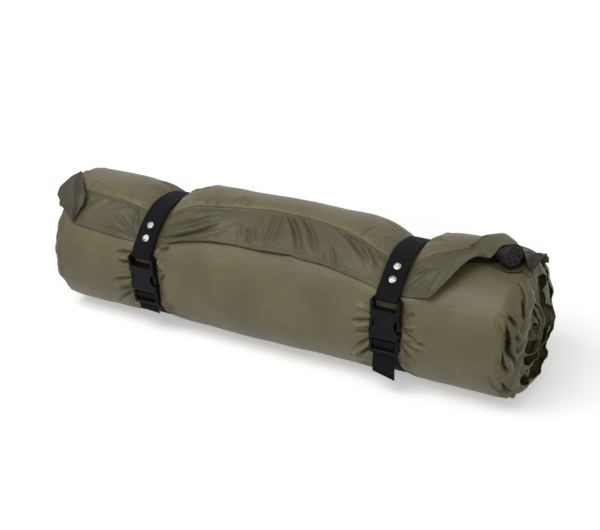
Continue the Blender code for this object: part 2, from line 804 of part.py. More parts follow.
def make_female(side, seat):
    """The half with the pocket, the two round side windows and the strap bar."""
    half = BUCKLE_HALF_WIDTH
    corner = 5.5 * MM
    shape = mirrored(
        [(half - 2 * MM, MOUTH_Y), (half - 0.5 * MM, MOUTH_Y + 1.2 * MM), (half, MOUTH_Y + 6 * MM)]
        + [(half, 13 * MM), (half - 0.8 * MM, 17 * MM), (half - 0.4 * MM, FEMALE_TOP - corner - 4 * MM)]
        + arc((half - corner, FEMALE_TOP - corner), corner, 0, 90, 4)
    )
    female = add(
        f"{side}_buckle_female",
        outline_mesh("female", [shape], 0, BUCKLE_THICK),
        "black_acetal",
        seat,
    )
    soften_edges(female, 1.1 * MM)
    inner = half - WALL
    pocket = mirrored(
        [(inner, MOUTH_Y - 2 * MM), (inner, POCKET_TOP - 4 * MM), (inner - 4 * MM, POCKET_TOP)]
    )
    cutter = outline_mesh("pocket", [pocket], WALL, BUCKLE_THICK - WALL)
    boolean(female, add_cutter(f"{side}_pocket", cutter, seat))
    for hand, sign in (("a", 1), ("b", -1)):
        round_cut = turned_mesh(
            "window",
            [(0, -1 * MM), (WINDOW_RADIUS, -1 * MM), (WINDOW_RADIUS, BUCKLE_THICK + 1 * MM), (0, BUCKLE_THICK + 1 * MM)],
            28,
        )
        centre = (sign * WINDOW_CENTRE[0], WINDOW_CENTRE[1], 0)
        boolean(female, add_cutter(f"{side}_window_{hand}", round_cut, seat, centre))
    slot_top = FEMALE_TOP - BAR
    slot = mirrored(
        arc((SLOT_HALF - 1.5 * MM, slot_top - SLOT_LENGTH + 1.5 * MM), 1.5 * MM, -90, 0, 2)
        + [(SLOT_HALF, slot_top - 0.4 * MM), (SLOT_HALF - 0.4 * MM, slot_top)]
    )
    slot_cutter = outline_mesh("slot", [slot], -1 * MM, BUCKLE_THICK + 1 * MM)
    boolean(female, add_cutter(f"{side}_slot", slot_cutter, seat))
    bar_low = BAR_HEIGHT - BAR / 2
    for label, low, high in (("back", -1 * MM, bar_low), ("front", bar_low + BAR, BUCKLE_THICK + 1 * MM)):
        cut = box_mesh(
            "bar_" + label,
            (-SLOT_HALF, slot_top - 1 * MM, low),
            (SLOT_HALF, FEMALE_TOP + 1 * MM, high),
        )
        boolean(female, add_cutter(f"{side}_bar_{label}", cut, seat))


def make_male(side, seat):
    """The half with the guide tongue, the ladder of two bars and its side rails."""
    half = BUCKLE_HALF_WIDTH - 0.7 * MM
    fit = BUCKLE_HALF_WIDTH - WALL - SLIDE_FIT
    low = WALL + SLIDE_FIT
    high = BUCKLE_THICK - WALL - SLIDE_FIT
    hole = WEB_WIDTH / 2 + 0.5 * MM
    frame = mirrored(
        [(half - 2.5 * MM, FRAME_BOTTOM), (half - 0.5 * MM, FRAME_BOTTOM + 2 * MM)]
        + [(half, MOUTH_Y - 6 * MM), (half, MOUTH_Y - 0.4 * MM)]
    )
    upper_slot = mirrored([(hole, -16.6 * MM), (hole, -12.5 * MM)])
    lower_slot = mirrored([(hole, -25.8 * MM), (hole, -19.6 * MM)])
    male = add(
        f"{side}_buckle_male",
        outline_mesh("male", [frame, upper_slot, lower_slot], low - 0.2 * MM, high),
        "black_acetal",
        seat,
    )
    soften_edges(male, 0.6 * MM, 1)
    tongue = mirrored(
        [(fit - 0.5 * MM, -12.4 * MM), (fit, -10.3 * MM), (5.2 * MM, -10.3 * MM)]
        + [(4.4 * MM, -6 * MM), (3.4 * MM, 9.5 * MM), (2 * MM, 11 * MM)]
    )
    tongue_mesh = outline_mesh("tongue", [tongue], low, high)
    boolean(male, add_cutter(f"{side}_tongue", tongue_mesh, seat), "UNION")
    thin_front = box_mesh("thin_front", (-hole, -20.2 * MM, 5.2 * MM), (hole, -15.6 * MM, high + 1 * MM))
    boolean(male, add_cutter(f"{side}_upper_bar", thin_front, seat))
    thin_back = box_mesh("thin_back", (-hole, FRAME_BOTTOM - 1 * MM, 0), (hole, -25.2 * MM, 4.1 * MM))
    boolean(male, add_cutter(f"{side}_lower_bar", thin_back, seat))


def make_arm(side, hand, sign, seat):
    """A spring arm that pivots at its root, with the pad that fills the female's window."""
    px, py = ARM_PIVOT
    inner = BUCKLE_HALF_WIDTH - WALL
    shape = arc((0, 0), ARM_ROOT, 180, 360, 6)
    shape += [(x * MM - px, y * MM - py) for x, y in [(14.7, -2.0)]]
    shape += [(inner + 1.2 * MM - px, -2.0 * MM - py)]
    shape += [
        (x * MM - px, y * MM - py)
        for x, y in [(17.0, 1.5), (17.0, 5.5), (16.3, 9.5), (14.8, 12.4), (13.3, 12.8), (12.5, 11.4), (13.2, 6), (12.7, 1)]
    ]
    if sign < 0:
        shape = [(-x, y) for x, y in reversed(shape)]
    low = WALL + SLIDE_FIT
    high = BUCKLE_THICK - WALL - SLIDE_FIT
    joint = empty(f"{side}_arm_{hand}_pivot", (sign * px, py, 0), parent=seat)
    arm = add(f"{side}_buckle_arm_{hand}", outline_mesh("arm", [shape], low, high), "black_acetal", joint)
    soften_edges(arm, 0.4 * MM, 1)


def make_buckle(side):
    angle = BUCKLE_ANGLE[side]
    seat = empty(
        f"{side}_buckle_seat",
        (STRAP_X[side], -BUCKLE_SEAT * math.cos(angle), AXIS_HEIGHT + BUCKLE_SEAT * math.sin(angle)),
        (math.pi / 2 - angle, 0, 0),
    )
    make_female(side, seat)
    make_male(side, seat)
    make_arm(side, "a", 1, seat)
    make_arm(side, "b", -1, seat)


# Valve

def make_valve():
    """The twist valve on the mat's cut corner, its z axis pointing out of the cap."""
    axis = empty(
        "valve_axis",
        (VALVE_FACE[0], VALVE_FACE[1], AXIS_HEIGHT + VALVE_HEIGHT),
        (math.pi / 2, 0, math.pi / 2 - VALVE_DIRECTION),
    )
    bore = CAP_RADIUS - CAP_WALL
    seal_top = -CAP_FACE - GAP
    seat_top = seal_top - SEAL_THICK - GAP
    collar_top = -CAP_LENGTH - GAP
    ring_height = collar_top + 4 * MM

    cap = [
        (0, 0),
        (4.0 * MM, 0),
        (4.3 * MM, -0.35 * MM),
        (8.8 * MM, -0.35 * MM),
        (9.2 * MM, 0),
        (CAP_RADIUS - 1.6 * MM, -0.1 * MM),
        (CAP_RADIUS - 0.4 * MM, -0.9 * MM),
        (CAP_RADIUS, -2.2 * MM),
        (CAP_RADIUS, -CAP_LENGTH + 0.5 * MM),
        (CAP_RADIUS - 0.5 * MM, -CAP_LENGTH),
        (bore, -CAP_LENGTH),
        (bore, -CAP_FACE),
        (0, -CAP_FACE),
    ]
    cap_object = add("valve_cap", turned_mesh("valve_cap", cap, 32), "valve_plastic", axis)
    for vent in range(VENTS):
        around = TURN * vent / VENTS
        drill = [(0, -4 * MM), (VENT_RADIUS, -4 * MM), (VENT_RADIUS, 1 * MM), (0, 1 * MM)]
        hole = turned_mesh("vent", drill, 10)
        place = (VENT_CIRCLE * math.cos(around), VENT_CIRCLE * math.sin(around), 0)
        boolean(cap_object, add_cutter(f"vent_{vent}", hole, axis, place))

    seal = [
        (0, seal_top),
        (STEM_RADIUS - 0.3 * MM, seal_top),
        (STEM_RADIUS, seal_top - 0.4 * MM),
        (STEM_RADIUS, seal_top - SEAL_THICK),
        (BORE_RADIUS - GAP, seal_top - SEAL_THICK),
        (BORE_RADIUS - 1.2 * MM, seal_top - SEAL_THICK - 1.6 * MM),
        (0, seal_top - SEAL_THICK - 2 * MM),
    ]
    add("valve_seal", turned_mesh("valve_seal", seal, 24), "orange_silicone", axis)

    ring_profile = [
        (STEM_RADIUS + GAP + RING_SECTION * (1 + math.cos(a)), ring_height + RING_SECTION * math.sin(a))
        for a in (TURN * i / 8 for i in range(8))
    ]
    add("valve_o_ring", turned_mesh("valve_o_ring", ring_profile, 24), "black_rubber", axis)

    bottom = -VALVE_LENGTH
    shoulder = ring_height - RING_SECTION - GAP
    base = [
        (BORE_RADIUS, seat_top),
        (STEM_RADIUS - 0.5 * MM, seat_top),
        (STEM_RADIUS, seat_top - 0.5 * MM),
        (STEM_RADIUS, shoulder),
        (bore - GAP, shoulder),
        (bore - GAP, collar_top),
        (CAP_RADIUS - 0.4 * MM, collar_top),
        (CAP_RADIUS, collar_top - 0.4 * MM),
        (CAP_RADIUS, bottom + 2 * MM),
        (CAP_RADIUS - 2 * MM, bottom),
        (BORE_RADIUS, bottom),
    ]
    base_object = add("valve_base", turned_mesh("valve_base", base, 32), "valve_plastic", axis)
    half_length, depth, thick = TANG
    tang = mirrored(
        [(half_length * 0.25, bottom - depth), (half_length, bottom - 0.45 * depth)]
        + [(half_length * 0.96, bottom + 1 * MM), (8 * MM, bottom + 1 * MM)]
    )
    tang_mesh = outline_mesh("tang", [tang], -thick / 2, thick / 2)
    union = add_cutter("tang_blank", tang_mesh, axis, (0, -TANG_DROP, 0), (math.pi / 2, 0, 0))
    boolean(base_object, union, "UNION")


def build():
    clear_scene()
    Kit.parts = collection("self_inflating_mat")
    Kit.cutters = collection("cutters")
    make_mat()
    for side in STRAP_X:
        make_strap(side)
        make_buckle(side)
    make_valve()


build()
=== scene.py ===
"""Looks for a rolled self-inflating sleeping mat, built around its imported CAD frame.

Laid out as a Blender add-on and run as a script.  Its operators build the stage, the rolled mat, its
loose welded end, its crumpled side hems and its webbing, and finish the buckles, rivets and valve.
Angles round the roll are 0 at the front (-Y), 90 degrees at the top and 180 degrees at the back.
"""

import math

import bmesh
import bpy
import numpy as np
from bpy.props import FloatProperty, FloatVectorProperty, PointerProperty
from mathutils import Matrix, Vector
from mathutils.geometry import convex_hull_2d


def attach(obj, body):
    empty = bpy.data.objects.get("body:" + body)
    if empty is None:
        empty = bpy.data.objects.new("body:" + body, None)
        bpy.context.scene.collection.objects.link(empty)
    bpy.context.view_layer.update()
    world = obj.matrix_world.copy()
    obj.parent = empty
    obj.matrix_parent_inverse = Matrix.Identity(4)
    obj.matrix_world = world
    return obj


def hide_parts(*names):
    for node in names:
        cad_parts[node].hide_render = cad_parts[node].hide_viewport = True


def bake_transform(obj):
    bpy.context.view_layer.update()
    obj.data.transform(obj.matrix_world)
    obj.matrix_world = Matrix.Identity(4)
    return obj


bl_info = {
    "name": "Rolled Sleeping Mat",
    "version": (1, 0, 0),
    "blender": (4, 5, 0),
    "location": "View3D > Sidebar > Sleeping Mat",
    "description": "Builds a rolled self-inflating sleeping mat with its straps, buckles and valve",
    "category": "Object",
}

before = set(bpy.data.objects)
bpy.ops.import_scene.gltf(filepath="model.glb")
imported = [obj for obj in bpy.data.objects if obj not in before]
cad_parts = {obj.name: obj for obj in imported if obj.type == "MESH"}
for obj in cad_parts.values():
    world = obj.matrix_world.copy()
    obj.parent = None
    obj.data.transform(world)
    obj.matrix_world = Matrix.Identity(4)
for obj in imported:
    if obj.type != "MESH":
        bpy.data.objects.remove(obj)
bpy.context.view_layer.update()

MM = 0.001
DEG = math.pi / 180.0
TURN = 2.0 * math.pi

# The roll, as in the CAD
MAT_LENGTH = 1830 * MM
HALF_WIDTH = 270 * MM
LAYER = 10.8 * MM
CORE_RADIUS = 14.3 * MM
ROLL_RADIUS = math.sqrt(CORE_RADIUS**2 + MAT_LENGTH * LAYER / math.pi) + LAYER / 2
AXIS_HEIGHT = ROLL_RADIUS - 8.6 * MM
FIRM_RADIUS = ROLL_RADIUS - 28 * MM
FOAM_END = 70 * DEG
TURNS = (ROLL_RADIUS - LAYER / 2 - CORE_RADIUS) / LAYER

# Straps and buckles, as in the CAD
STRAP_OUT = 147
STRAP_X = {"left": -STRAP_OUT * MM, "right": STRAP_OUT * MM}
BUCKLE_ANGLE = {"left": -6 * DEG, "right": 3 * DEG}
TAIL_LENGTH = {"left": 11 * MM, "right": 26 * MM}
RING_RADIUS = ROLL_RADIUS - 12 * MM
RING_DROP = 1.5 * MM
BACK_DROP = (4 * MM, 120 * DEG)
BUCKLE_SEAT = RING_RADIUS - 4.5 * MM
WEB = 1.4 * MM
RIB_PITCH = 1.6 * MM
TWILL_PITCH = 2.2 * MM
YARN_PITCH = 1.1 * MM
GAP = 0.3 * MM
STRAP_SPLIT = 92 * DEG
RETURN_LIFT = 3.0 * MM
OUTER_LIFT = RETURN_LIFT + WEB + GAP
FRAME_BOTTOM = -30 * MM
FEMALE_TOP = 34 * MM
BAR = 3.2 * MM
BAR_HEIGHT = 3.8 * MM
FIRST_RIVET = 24 * MM
RIVET_SPACING = 24.8 * MM
STATIONS = 28
STATION = TURN / STATIONS
PINCH_HALF = 12.8 * MM
LADDER = [
    (-30, 1.0), (-16.3, 1.0), (-14.6, 2.4), (-14.0, 4.3), (-15.4, 6.1), (-20.2, 6.2), (-25, 3.1), (-31, 3.1),
]

# Valve, as in the CAD
VALVE_FACE = (259 * MM, -18 * MM)
VALVE_HEIGHT = ROLL_RADIUS - 2.5 * MM
VALVE_AXIS = (0.748956, -0.662620)
VALVE_LENGTH = 26 * MM
CAP_RADIUS = 11.5 * MM
VALVE_SEAT = (250 * MM, 86 * DEG)
VALVE_DENT = 5 * MM

# Radii at which angles round the roll are turned into lengths of cloth and of its folds
CLOTH_RADIUS = 80 * MM
FOLD_RADIUS = 81 * MM

# Gaps and thicknesses of cloth
TURN_GAP = 0.5 * MM
FLAP_GAP = 1.3 * MM
FLAP_THICKNESS = 1.4 * MM
END_SINK = 0.6 * MM

# The floor: gap below the roll, how softly it flattens the roll, and how near it works
FLOOR_GAP = 0.2 * MM
FLOOR_SOFTNESS = 1.2 * MM
FLOOR_REACH = 12 * MM

# How far round the roll the foam takes to reach its full thickness: outside, inside and at the side hems
OUTER_NOSE = 13 * DEG
INNER_NOSE = 9 * DEG
HEM_NOSE = 12 * DEG

# Along the roll (mm): where the foam ends, and where the loose hem's edge lies (degrees round the roll)
WELD = [
    (-290, 66), (-270, 65), (-239, 63.5), (-205, 61), (-170, 59), (-147, 58), (-124, 62), (-113, 66),
    (-96, 70), (-74, 73), (-45, 77), (-12, 81), (20, 81), (52, 78), (80, 73.5), (105, 67), (128, 62.5),
    (150, 61), (167, 65), (182, 70), (192, 73.5), (208, 80), (218, 91), (229, 103), (246, 116), (270, 134),
    (290, 142),
]
HEM = [
    (-290, 49), (-266, 43), (-254, 37), (-242, 32), (-206, 30), (-165, 28), (-132, 28), (-115, 33.5),
    (-99, 37), (-71, 41), (-38, 42.5), (-8, 42), (18, 43), (30, 44), (40, 42.5), (69, 42), (89, 39.5),
    (112, 36.5), (130, 33.5), (149, 31.5), (165, 31.5), (190, 33.5), (195, 37.5), (206, 49), (216, 62),
    (222, 69.5), (229, 74), (235, 76.5), (241, 78), (247, 79.5), (253, 81), (259, 83), (265, 86), (270, 86),
    (276, 83), (283, 80), (290, 79),
]

# Gaps under the loose hem: place along the roll, reach and height (mm)
HEM_GAPS = [(-66, 26, 3.2), (8, 20, 2.2), (-104, 10, 1.4), (62, 16, 1.2), (205, 20, 9.0), (225, 16, 9.0)]

# Folds of the loose end: start and end (mm, degrees), width and height (mm), kept below a greatest height
FOLD_LIMIT = 4.2 * MM
FLAP_FOLDS = [
    (-131, 38, -34, 72, 3.4, 2.3), (-126, 34, -46, 67, 2.4, -2.1), (-124, 33, -36, 62, 3.4, 2.4),
    (-116, 34, -50, 58, 2.4, -1.8), (-108, 37, -62, 52, 2.6, 1.6), (-131, 44, -62, 72, 2.4, -2.0),
    (-132, 48, -84, 68, 2.6, 2.0), (-132, 55, -108, 68, 2.2, -2.0), (-131, 41, -70, 64, 2.0, 1.4),
    (-7, 77, -5, 43, 3.2, -1.5), (-1, 79, 3, 44, 3.0, 1.6), (6, 80, 39, 46, 3.2, -3.4),
    (16, 80, 50, 45, 4.2, 3.2), (28, 78, 60, 47, 3.2, -1.8), (-30, 60, -22, 44, 2.6, -1.9),
    (-22, 62, -18, 44, 2.4, 1.6), (-40, 60, -34, 45, 2.4, 1.2), (-24, 74, -14, 52, 2.8, 0.9),
    (72, 56, 82, 40, 2.8, 1.3), (66, 52, 72, 38, 2.2, -0.8), (44, 83, 116, 51, 3.2, -3.4),
    (54, 84, 126, 57, 4.2, 2.8), (112, 62, 128, 50, 2.4, -1.8), (104, 64, 124, 46, 3.0, 1.5),
    (92, 66, 128, 59, 2.4, -1.0), (-162, 34, -176, 52, 2.4, -1.9), (-163, 37, -181, 60, 2.6, 1.7),
    (-162, 41, -172, 60, 2.2, -1.6), (-163, 31, -196, 48, 2.8, 1.1), (-163, 46, -164, 60, 2.4, 1.3),
    (-164, 29, -206, 34, 2.4, -0.9), (-178, 58, -206, 50, 3.2, -0.8), (-214, 60, -238, 36, 5.0, 0.9),
    (162, 30, 186, 52, 4.0, 1.3), (162, 37, 182, 57, 2.6, -1.3), (162, 46, 186, 62, 2.8, 1.4),
    (164, 34, 196, 60, 5.0, 0.8), (188, 33, 206, 66, 2.8, 0.9), (192, 71, 222, 88, 2.6, -1.3),
    (198, 72, 228, 84, 3.0, 1.3), (206, 78, 232, 98, 2.4, -1.2),
]

# Folds of the roll itself, in the same form
ROLL_FOLDS = [
    (-164, 18, -186, 14, 2.4, -1.7), (-164, 12, -184, 9, 2.0, 1.2), (-164, 8, -182, 8, 2.2, -1.5),
    (-164, -7, -192, -13, 2.4, -1.8), (-164, -12, -190, -18, 2.2, 1.3), (-166, -17, -186, -22, 2.0, -1.4),
    (-168, -22, -196, -42, 2.6, -1.6), (-168, -30, -186, -48, 2.4, 1.2), (-130, 25, -116, 30, 2.6, -1.9),
    (-129, 16, -120, 8, 2.6, 1.4), (-129, -4, -120, 6, 2.4, -1.3), (-128, -20, -112, -32, 2.4, -1.7),
    (-128, -26, -118, -42, 2.4, 1.3), (166, 4, 194, -6, 2.4, -2.1), (166, 0, 188, -2, 2.2, 1.5),
    (166, -6, 188, -12, 2.2, -1.9), (166, -11, 182, -24, 2.4, -2.0), (165, -15, 178, -30, 2.2, 1.5),
    (165, -20, 174, -38, 2.2, -1.6), (166, 8, 180, 9, 2.2, 1.4), (166, 16, 178, 20, 2.4, -1.2),
    (132, 6, 108, 2, 2.2, -1.8), (132, 2, 110, -3, 2.2, 1.4), (131, -5, 112, -8, 2.2, -1.5),
    (132, -19, 112, -35, 2.4, -2.0), (133, -13, 106, -38, 2.4, 1.4), (132, -10, 114, -22, 2.0, -1.2),
    (131, 14, 112, 16, 3.0, 1.0),
]

# The lower sheet's edge under the valve (mm, degrees)
LIP = [(214, 68), (222, 74), (232, 77.5), (240, 75), (249, 73), (258, 72.5), (264, 74), (270, 79)]
LIP_TOP = 96 * DEG

# The side hems' lie at each end: degrees round the roll, and how far they reach out and lean in there (mm)
HEM_SHAPES = {
    "left": [
        (0, 4.5, 13), (40, 5, 12), (90, 7, 11), (140, 10, 10), (200, 11, 10), (250, 8, 11), (320, 5, 12),
    ],
    "right": [
        (0, 12, 21), (30, 14, 23), (46, 14, 18), (62, 16, 13), (76, 13, 17), (88, 10, 21), (110, 7, 17),
        (150, 8, 15), (172, 13, 13), (188, 17, 11), (215, 18, 10), (250, 18, 11), (270, 15, 15),
        (300, 11, 19), (330, 13, 22),
    ],
}
HEM_ROUNDING = {"left": 3.4, "right": 2.0}
HEM_SEED = {"left": 70, "right": 50}
HEM_RIM = 260 * MM
HEM_SINK = 0.55 * MM
INNER_HEM_STEP = 2.1 * DEG

# Beyond this place along the roll the loose end is crumpled under, and its faces there take the darker nylon
# as painted shade
SHADE_FROM = 259 * MM

# Deep creases across the right end's outer hem, as folds on the loose end are given
HEM_CUTS = [
    (267, 66, 282, 40, 1.6, -5.0), (265, 36, 279, 24, 2.0, -6.5), (266, 30, 275, -4, 2.6, -9.0),
    (271, 14, 284, -26, 3.0, -9.0), (265, -18, 282, -52, 2.6, -8.5), (274, 60, 286, 36, 2.6, 3.5),
    (270, 14, 284, -12, 2.4, 3.0), (268, -40, 286, -70, 2.2, 3.0), (272, 84, 284, 66, 1.6, -4.5),
    (276, 50, 284, 14, 2.4, -8.0), (270, 4, 278, -20, 2.0, -7.0), (278, 20, 288, -14, 2.4, -8.0),
]

# The folded corner, from its top to its lower tip: place along the roll (mm), degrees and radius (mm)
CORNER_LEFT = [
    (-265, 76.7, 89), (-270.6, 70.2, 88.5), (-276.8, 57.7, 88), (-275.7, 51.3, 87), (-266.7, 45.3, 86),
    (-246.2, 32.8, 81.5),
]
CORNER_RIDGE = [
    (-264.5, 76.5, 89.5), (-262.4, 66.7, 92), (-253, 54.5, 93), (-246.7, 42.7, 89), (-246, 32.7, 81.8),
]
CORNER_RIGHT = [
    (-262.5, 76.3, 88.5), (-247.7, 63.2, 87.5), (-239.1, 55.5, 86.5), (-238, 48.6, 84.5),
    (-246.2, 32.8, 81.5),
]


# Numbers and noise

def table(rows, x):
    """Smooth reading of (mm, degrees) rows at places in metres, in radians."""
    places, values = zip(*rows)
    spread = (-3.0, -1.5, 0.0, 1.5, 3.0)
    return sum(np.interp(np.asarray(x) / MM + d, places, values) for d in spread) / len(spread) * DEG


def smooth(t):
    """0 up to 0, 1 from 1 on, and an even curve between."""
    t = np.clip(t, 0.0, 1.0)
    return t * t * (3.0 - 2.0 * t)


def lattice(i, j, seed):
    """A number from -1 to 1 for each whole-numbered place on a plane, the same at each run."""
    h = (i.astype(np.int64) * 374761393 + j.astype(np.int64) * 668265263 + seed * 974634777) & 0xFFFFFFFF
    h = ((h ^ (h >> 13)) * 1274126177) & 0xFFFFFFFF
    return ((h ^ (h >> 16)) & 0xFFFF) / 32767.5 - 1.0


def noise(u, v, seed):
    """Smooth noise from -1 to 1 over a plane."""
    u, v = np.broadcast_arrays(np.asarray(u, float), np.asarray(v, float))
    i, j = np.floor(u), np.floor(v)
    fu, fv = smooth(u - i), smooth(v - j)
    low = lattice(i, j, seed) * (1 - fu) + lattice(i + 1, j, seed) * fu
    high = lattice(i, j + 1, seed) * (1 - fu) + lattice(i + 1, j + 1, seed) * fu
    return low * (1 - fv) + high * fv


def facets(u, v, seed):
    """Noise from -1 to 1 made of flat triangles with creases between them, as stiff cloth crumples."""
    u, v = np.broadcast_arrays(np.asarray(u, float), np.asarray(v, float))
    i, j = np.floor(u), np.floor(v)
    fu, fv = u - i, v - j
    above = (fv > fu).astype(float)
    first, last = lattice(i, j, seed), lattice(i + 1, j + 1, seed)
    middle = lattice(i + 1 - above, j + above, seed)
    more, less = np.maximum(fu, fv), np.minimum(fu, fv)
    return first + (middle - first) * more + (last - middle) * less


def folds(x, angle, rows):
    """Height of sharp-crested folds, each a bowed line on the cloth that fades at its ends."""
    overrun, rise, fall, bow = 0.06, 0.16, 0.5, 0.06
    valley_height, valley_place = 0.3, 1.9
    u, v = x / MM, angle * FOLD_RADIUS / MM
    total = np.zeros(np.broadcast(u, v).shape)
    for x0, a0, x1, a1, width, height in rows:
        v0, v1 = a0 * DEG * FOLD_RADIUS / MM, a1 * DEG * FOLD_RADIUS / MM
        length = math.hypot(x1 - x0, v1 - v0)
        du, dv = (x1 - x0) / length, (v1 - v0) / length
        along = ((u - x0) * du + (v - v0) * dv) / length
        side = math.copysign(1.0, x0 + 7 * a0 - 300)
        bend = bow * length * np.sin(np.clip(along, 0, 1) * math.pi) * side
        across = (u - x0) * dv - (v - v0) * du + bend
        fade = smooth((along + overrun) / rise) * smooth((1 + overrun - along) / fall)
        share = np.abs(across) / (width * (0.6 + 0.45 * np.clip(along, 0, 1)))
        crest = np.exp(-share**1.15) - valley_height * np.exp(-((share - valley_place) ** 2))
        total += height * MM * fade * crest
    return total


def strap_puckers():
    """Short folds fanning from both edges of each strap, all the way round but for the buckle's place."""
    draw = np.random.default_rng(7)
    edge = 14
    rows = []
    for strap_x in (-STRAP_OUT, STRAP_OUT):
        for side in (-1, 1):
            for angle in np.arange(-170, 190, 9.5):
                start = angle + draw.uniform(-3, 3)
                if -36 < start < 34:
                    continue
                reach = draw.uniform(14, 40)
                height = draw.uniform(0.5, 1.4) * (1 if draw.random() > 0.45 else -1)
                end = start + draw.uniform(-7, 7)
                width = draw.uniform(1.8, 3.2)
                near_x, far_x = strap_x + side * edge, strap_x + side * (edge + reach)
                rows.append((near_x, start, far_x, end, width, height))
    return rows


def weld_puckers():
    """Small gathers across the weld at the foam's end."""
    draw = np.random.default_rng(11)
    rows = []
    for low, high in ((-252, -190), (-112, -34), (96, 128)):
        x = low
        while x < high:
            weld = float(table(WELD, x * MM)) / DEG
            end, reach = x + draw.uniform(6, 14), draw.uniform(9, 16)
            rows.append((x, weld - 1, end, weld + reach, 1.9, draw.uniform(-2.1, 1.5)))
            x += draw.uniform(5, 8)
    return rows


# Strap rings, in the plane across the roll with p forward and q up from its axis

def buckle_point(side, y, z):
    """A place on a buckle: y up along it, z out from its flat back."""
    angle = BUCKLE_ANGLE[side]
    out = BUCKLE_SEAT + z
    return (out * math.cos(angle) - y * math.sin(angle), out * math.sin(angle) + y * math.cos(angle))


def ring_polygon(side):
    """The strap's inner line: a taut loop over the mat and the buckle's flat back."""
    ends = [Vector(buckle_point(side, y, 0)) for y in (FRAME_BOTTOM, FEMALE_TOP)]
    low, high = (math.atan2(end.y, end.x) for end in ends)
    points = []
    for a in (STATION * i - TURN / 4 for i in range(STATIONS)):
        if not low < a < high:
            back = BACK_DROP[0] * max(0, math.cos(a - BACK_DROP[1])) ** 2
            radius = RING_RADIUS - RING_DROP * math.sin(a) - back
            points.append(Vector((math.cos(a), math.sin(a))) * radius)
    points += ends
    return [points[i] for i in convex_hull_2d(points)]


RINGS = {side: ring_polygon(side) for side in STRAP_X}


def ring_radius(side, angle):
    """How far from the axis the strap's inner line lies."""
    ray = Vector((math.cos(angle), math.sin(angle)))
    polygon = RINGS[side]
    for a, b in zip(polygon, polygon[1:] + polygon[:1]):
        edge = b - a
        cross = ray.x * edge.y - ray.y * edge.x
        if abs(cross) < 1e-12:
            continue
        distance = (a.x * edge.y - a.y * edge.x) / cross
        along = (a.x * ray.y - a.y * ray.x) / cross
        if distance > 0 and -1e-6 <= along <= 1 + 1e-6:
            return distance
    return RING_RADIUS


RING_ANGLES = np.linspace(0, TURN, 1441)
RING_TABLE = {side: np.array([ring_radius(side, a) for a in RING_ANGLES]) for side in STRAP_X}


def ring_at(side, angle):
    """The same for arrays of angles."""
    return np.interp(np.mod(angle, TURN), RING_ANGLES, RING_TABLE[side])


def ring_point(side, angle, lift):
    radius = ring_radius(side, angle) + lift
    return (radius * math.cos(angle), radius * math.sin(angle))


# The roll's surfaces, as a radius at an unrolled angle and a place along the roll

def spiral(phi):
    """The outside of the wound pad, with nothing pressing on it."""
    return ROLL_RADIUS - LAYER * np.maximum(0.0, phi - FOAM_END) / TURN


def swelling(phi, x):
    """The outermost turn swells between its straps, and its left part slumps at the top and back."""
    middle = smooth(1 - np.abs(x) / (100 * MM))
    high = np.maximum(0.0, np.cos(phi - 112 * DEG)) ** 1.5
    left = smooth((-x - 150 * MM) / (40 * MM))
    right = smooth((x - 150 * MM) / (40 * MM))
    open_part = np.clip(1 - (phi - TURN - table(HEM, x)) / (40 * DEG), 0, 1)
    return (1.4 * middle - 5.0 * left * high - 1.5 * right * high - 0.8 * (1 - high)) * MM * open_part


def groove(beside, angle):
    """1 under a strap, falling to 0 beside it as a pinched pad does, slowest on its left at the top."""
    high = np.maximum(0.0, np.cos(angle - 125 * DEG))
    reach = (36 + np.where(beside < 0, 28, 4) * high) * MM
    t = np.clip((np.abs(beside) - PINCH_HALF) / reach, 0, 1)
    return 1 - (1 - (1 - t) ** 2.4) ** 0.8


def bell(value, middle, width):
    """1 at the middle, falling smoothly to nothing a few widths away."""
    return np.exp(-(((value - middle) / width) ** 2))


def near(x, angle, place, middle, reach, spread):
    """1 at a place on the roll, fading to 0 round it, with no cut in the fall."""
    u, v = (x - place) / reach, (angle - middle) / spread
    return np.maximum(0.0, 1 - u * u - v * v) ** 2


def pressed(radius, phi, x, clear):
    """A surface moved in by the straps, the floor and the valve; clear is its gap below the straps."""
    depth = VALVE_DENT * near(x, np.mod(phi, TURN), *VALVE_SEAT, 52 * MM, 44 * DEG)
    for side, strap_x in STRAP_X.items():
        room = radius - ring_at(side, phi) + clear
        depth = np.maximum(depth, np.maximum(room, 0) * groove(x - strap_x, phi))
    radius = radius - depth
    down = np.maximum(-np.sin(phi), 1e-3)
    floor = np.where(down > 0.5, (AXIS_HEIGHT - FLOOR_GAP) / down, 1.0)
    gap = floor - radius
    flattened = radius - FLOOR_SOFTNESS * np.logaddexp(0.0, -gap / FLOOR_SOFTNESS)
    return np.where(gap > FLOOR_REACH, radius, flattened)


def strap_clear(phi, x):
    """How far below the strap's inner line the roll's outside lies: deeper where the loose end covers it."""
    under = smooth((phi - TURN - table(HEM, x)) / (4 * DEG) + 1)
    deep = smooth((phi - TURN - table(WELD, x)) / (8 * DEG) + 0.5)
    return (0.5 + 2.2 * under + 3.5 * deep) * MM


def under_flap(angle, x):
    """The roll's outside where the loose end lies over it, without its small folds."""
    phi = angle + TURN
    return pressed(spiral(phi) + swelling(phi, x), phi, x, strap_clear(phi, x))


def valve_frame(angle, x):
    """Distances from the valve: back along its axis from its face, and across."""
    y = -np.cos(angle) * (ROLL_RADIUS - 2 * MM)
    dx, dy = x - VALVE_FACE[0], y - VALVE_FACE[1]
    back = -(dx * VALVE_AXIS[0] + dy * VALVE_AXIS[1])
    across = dx * -VALVE_AXIS[1] + dy * VALVE_AXIS[0]
    return back, across


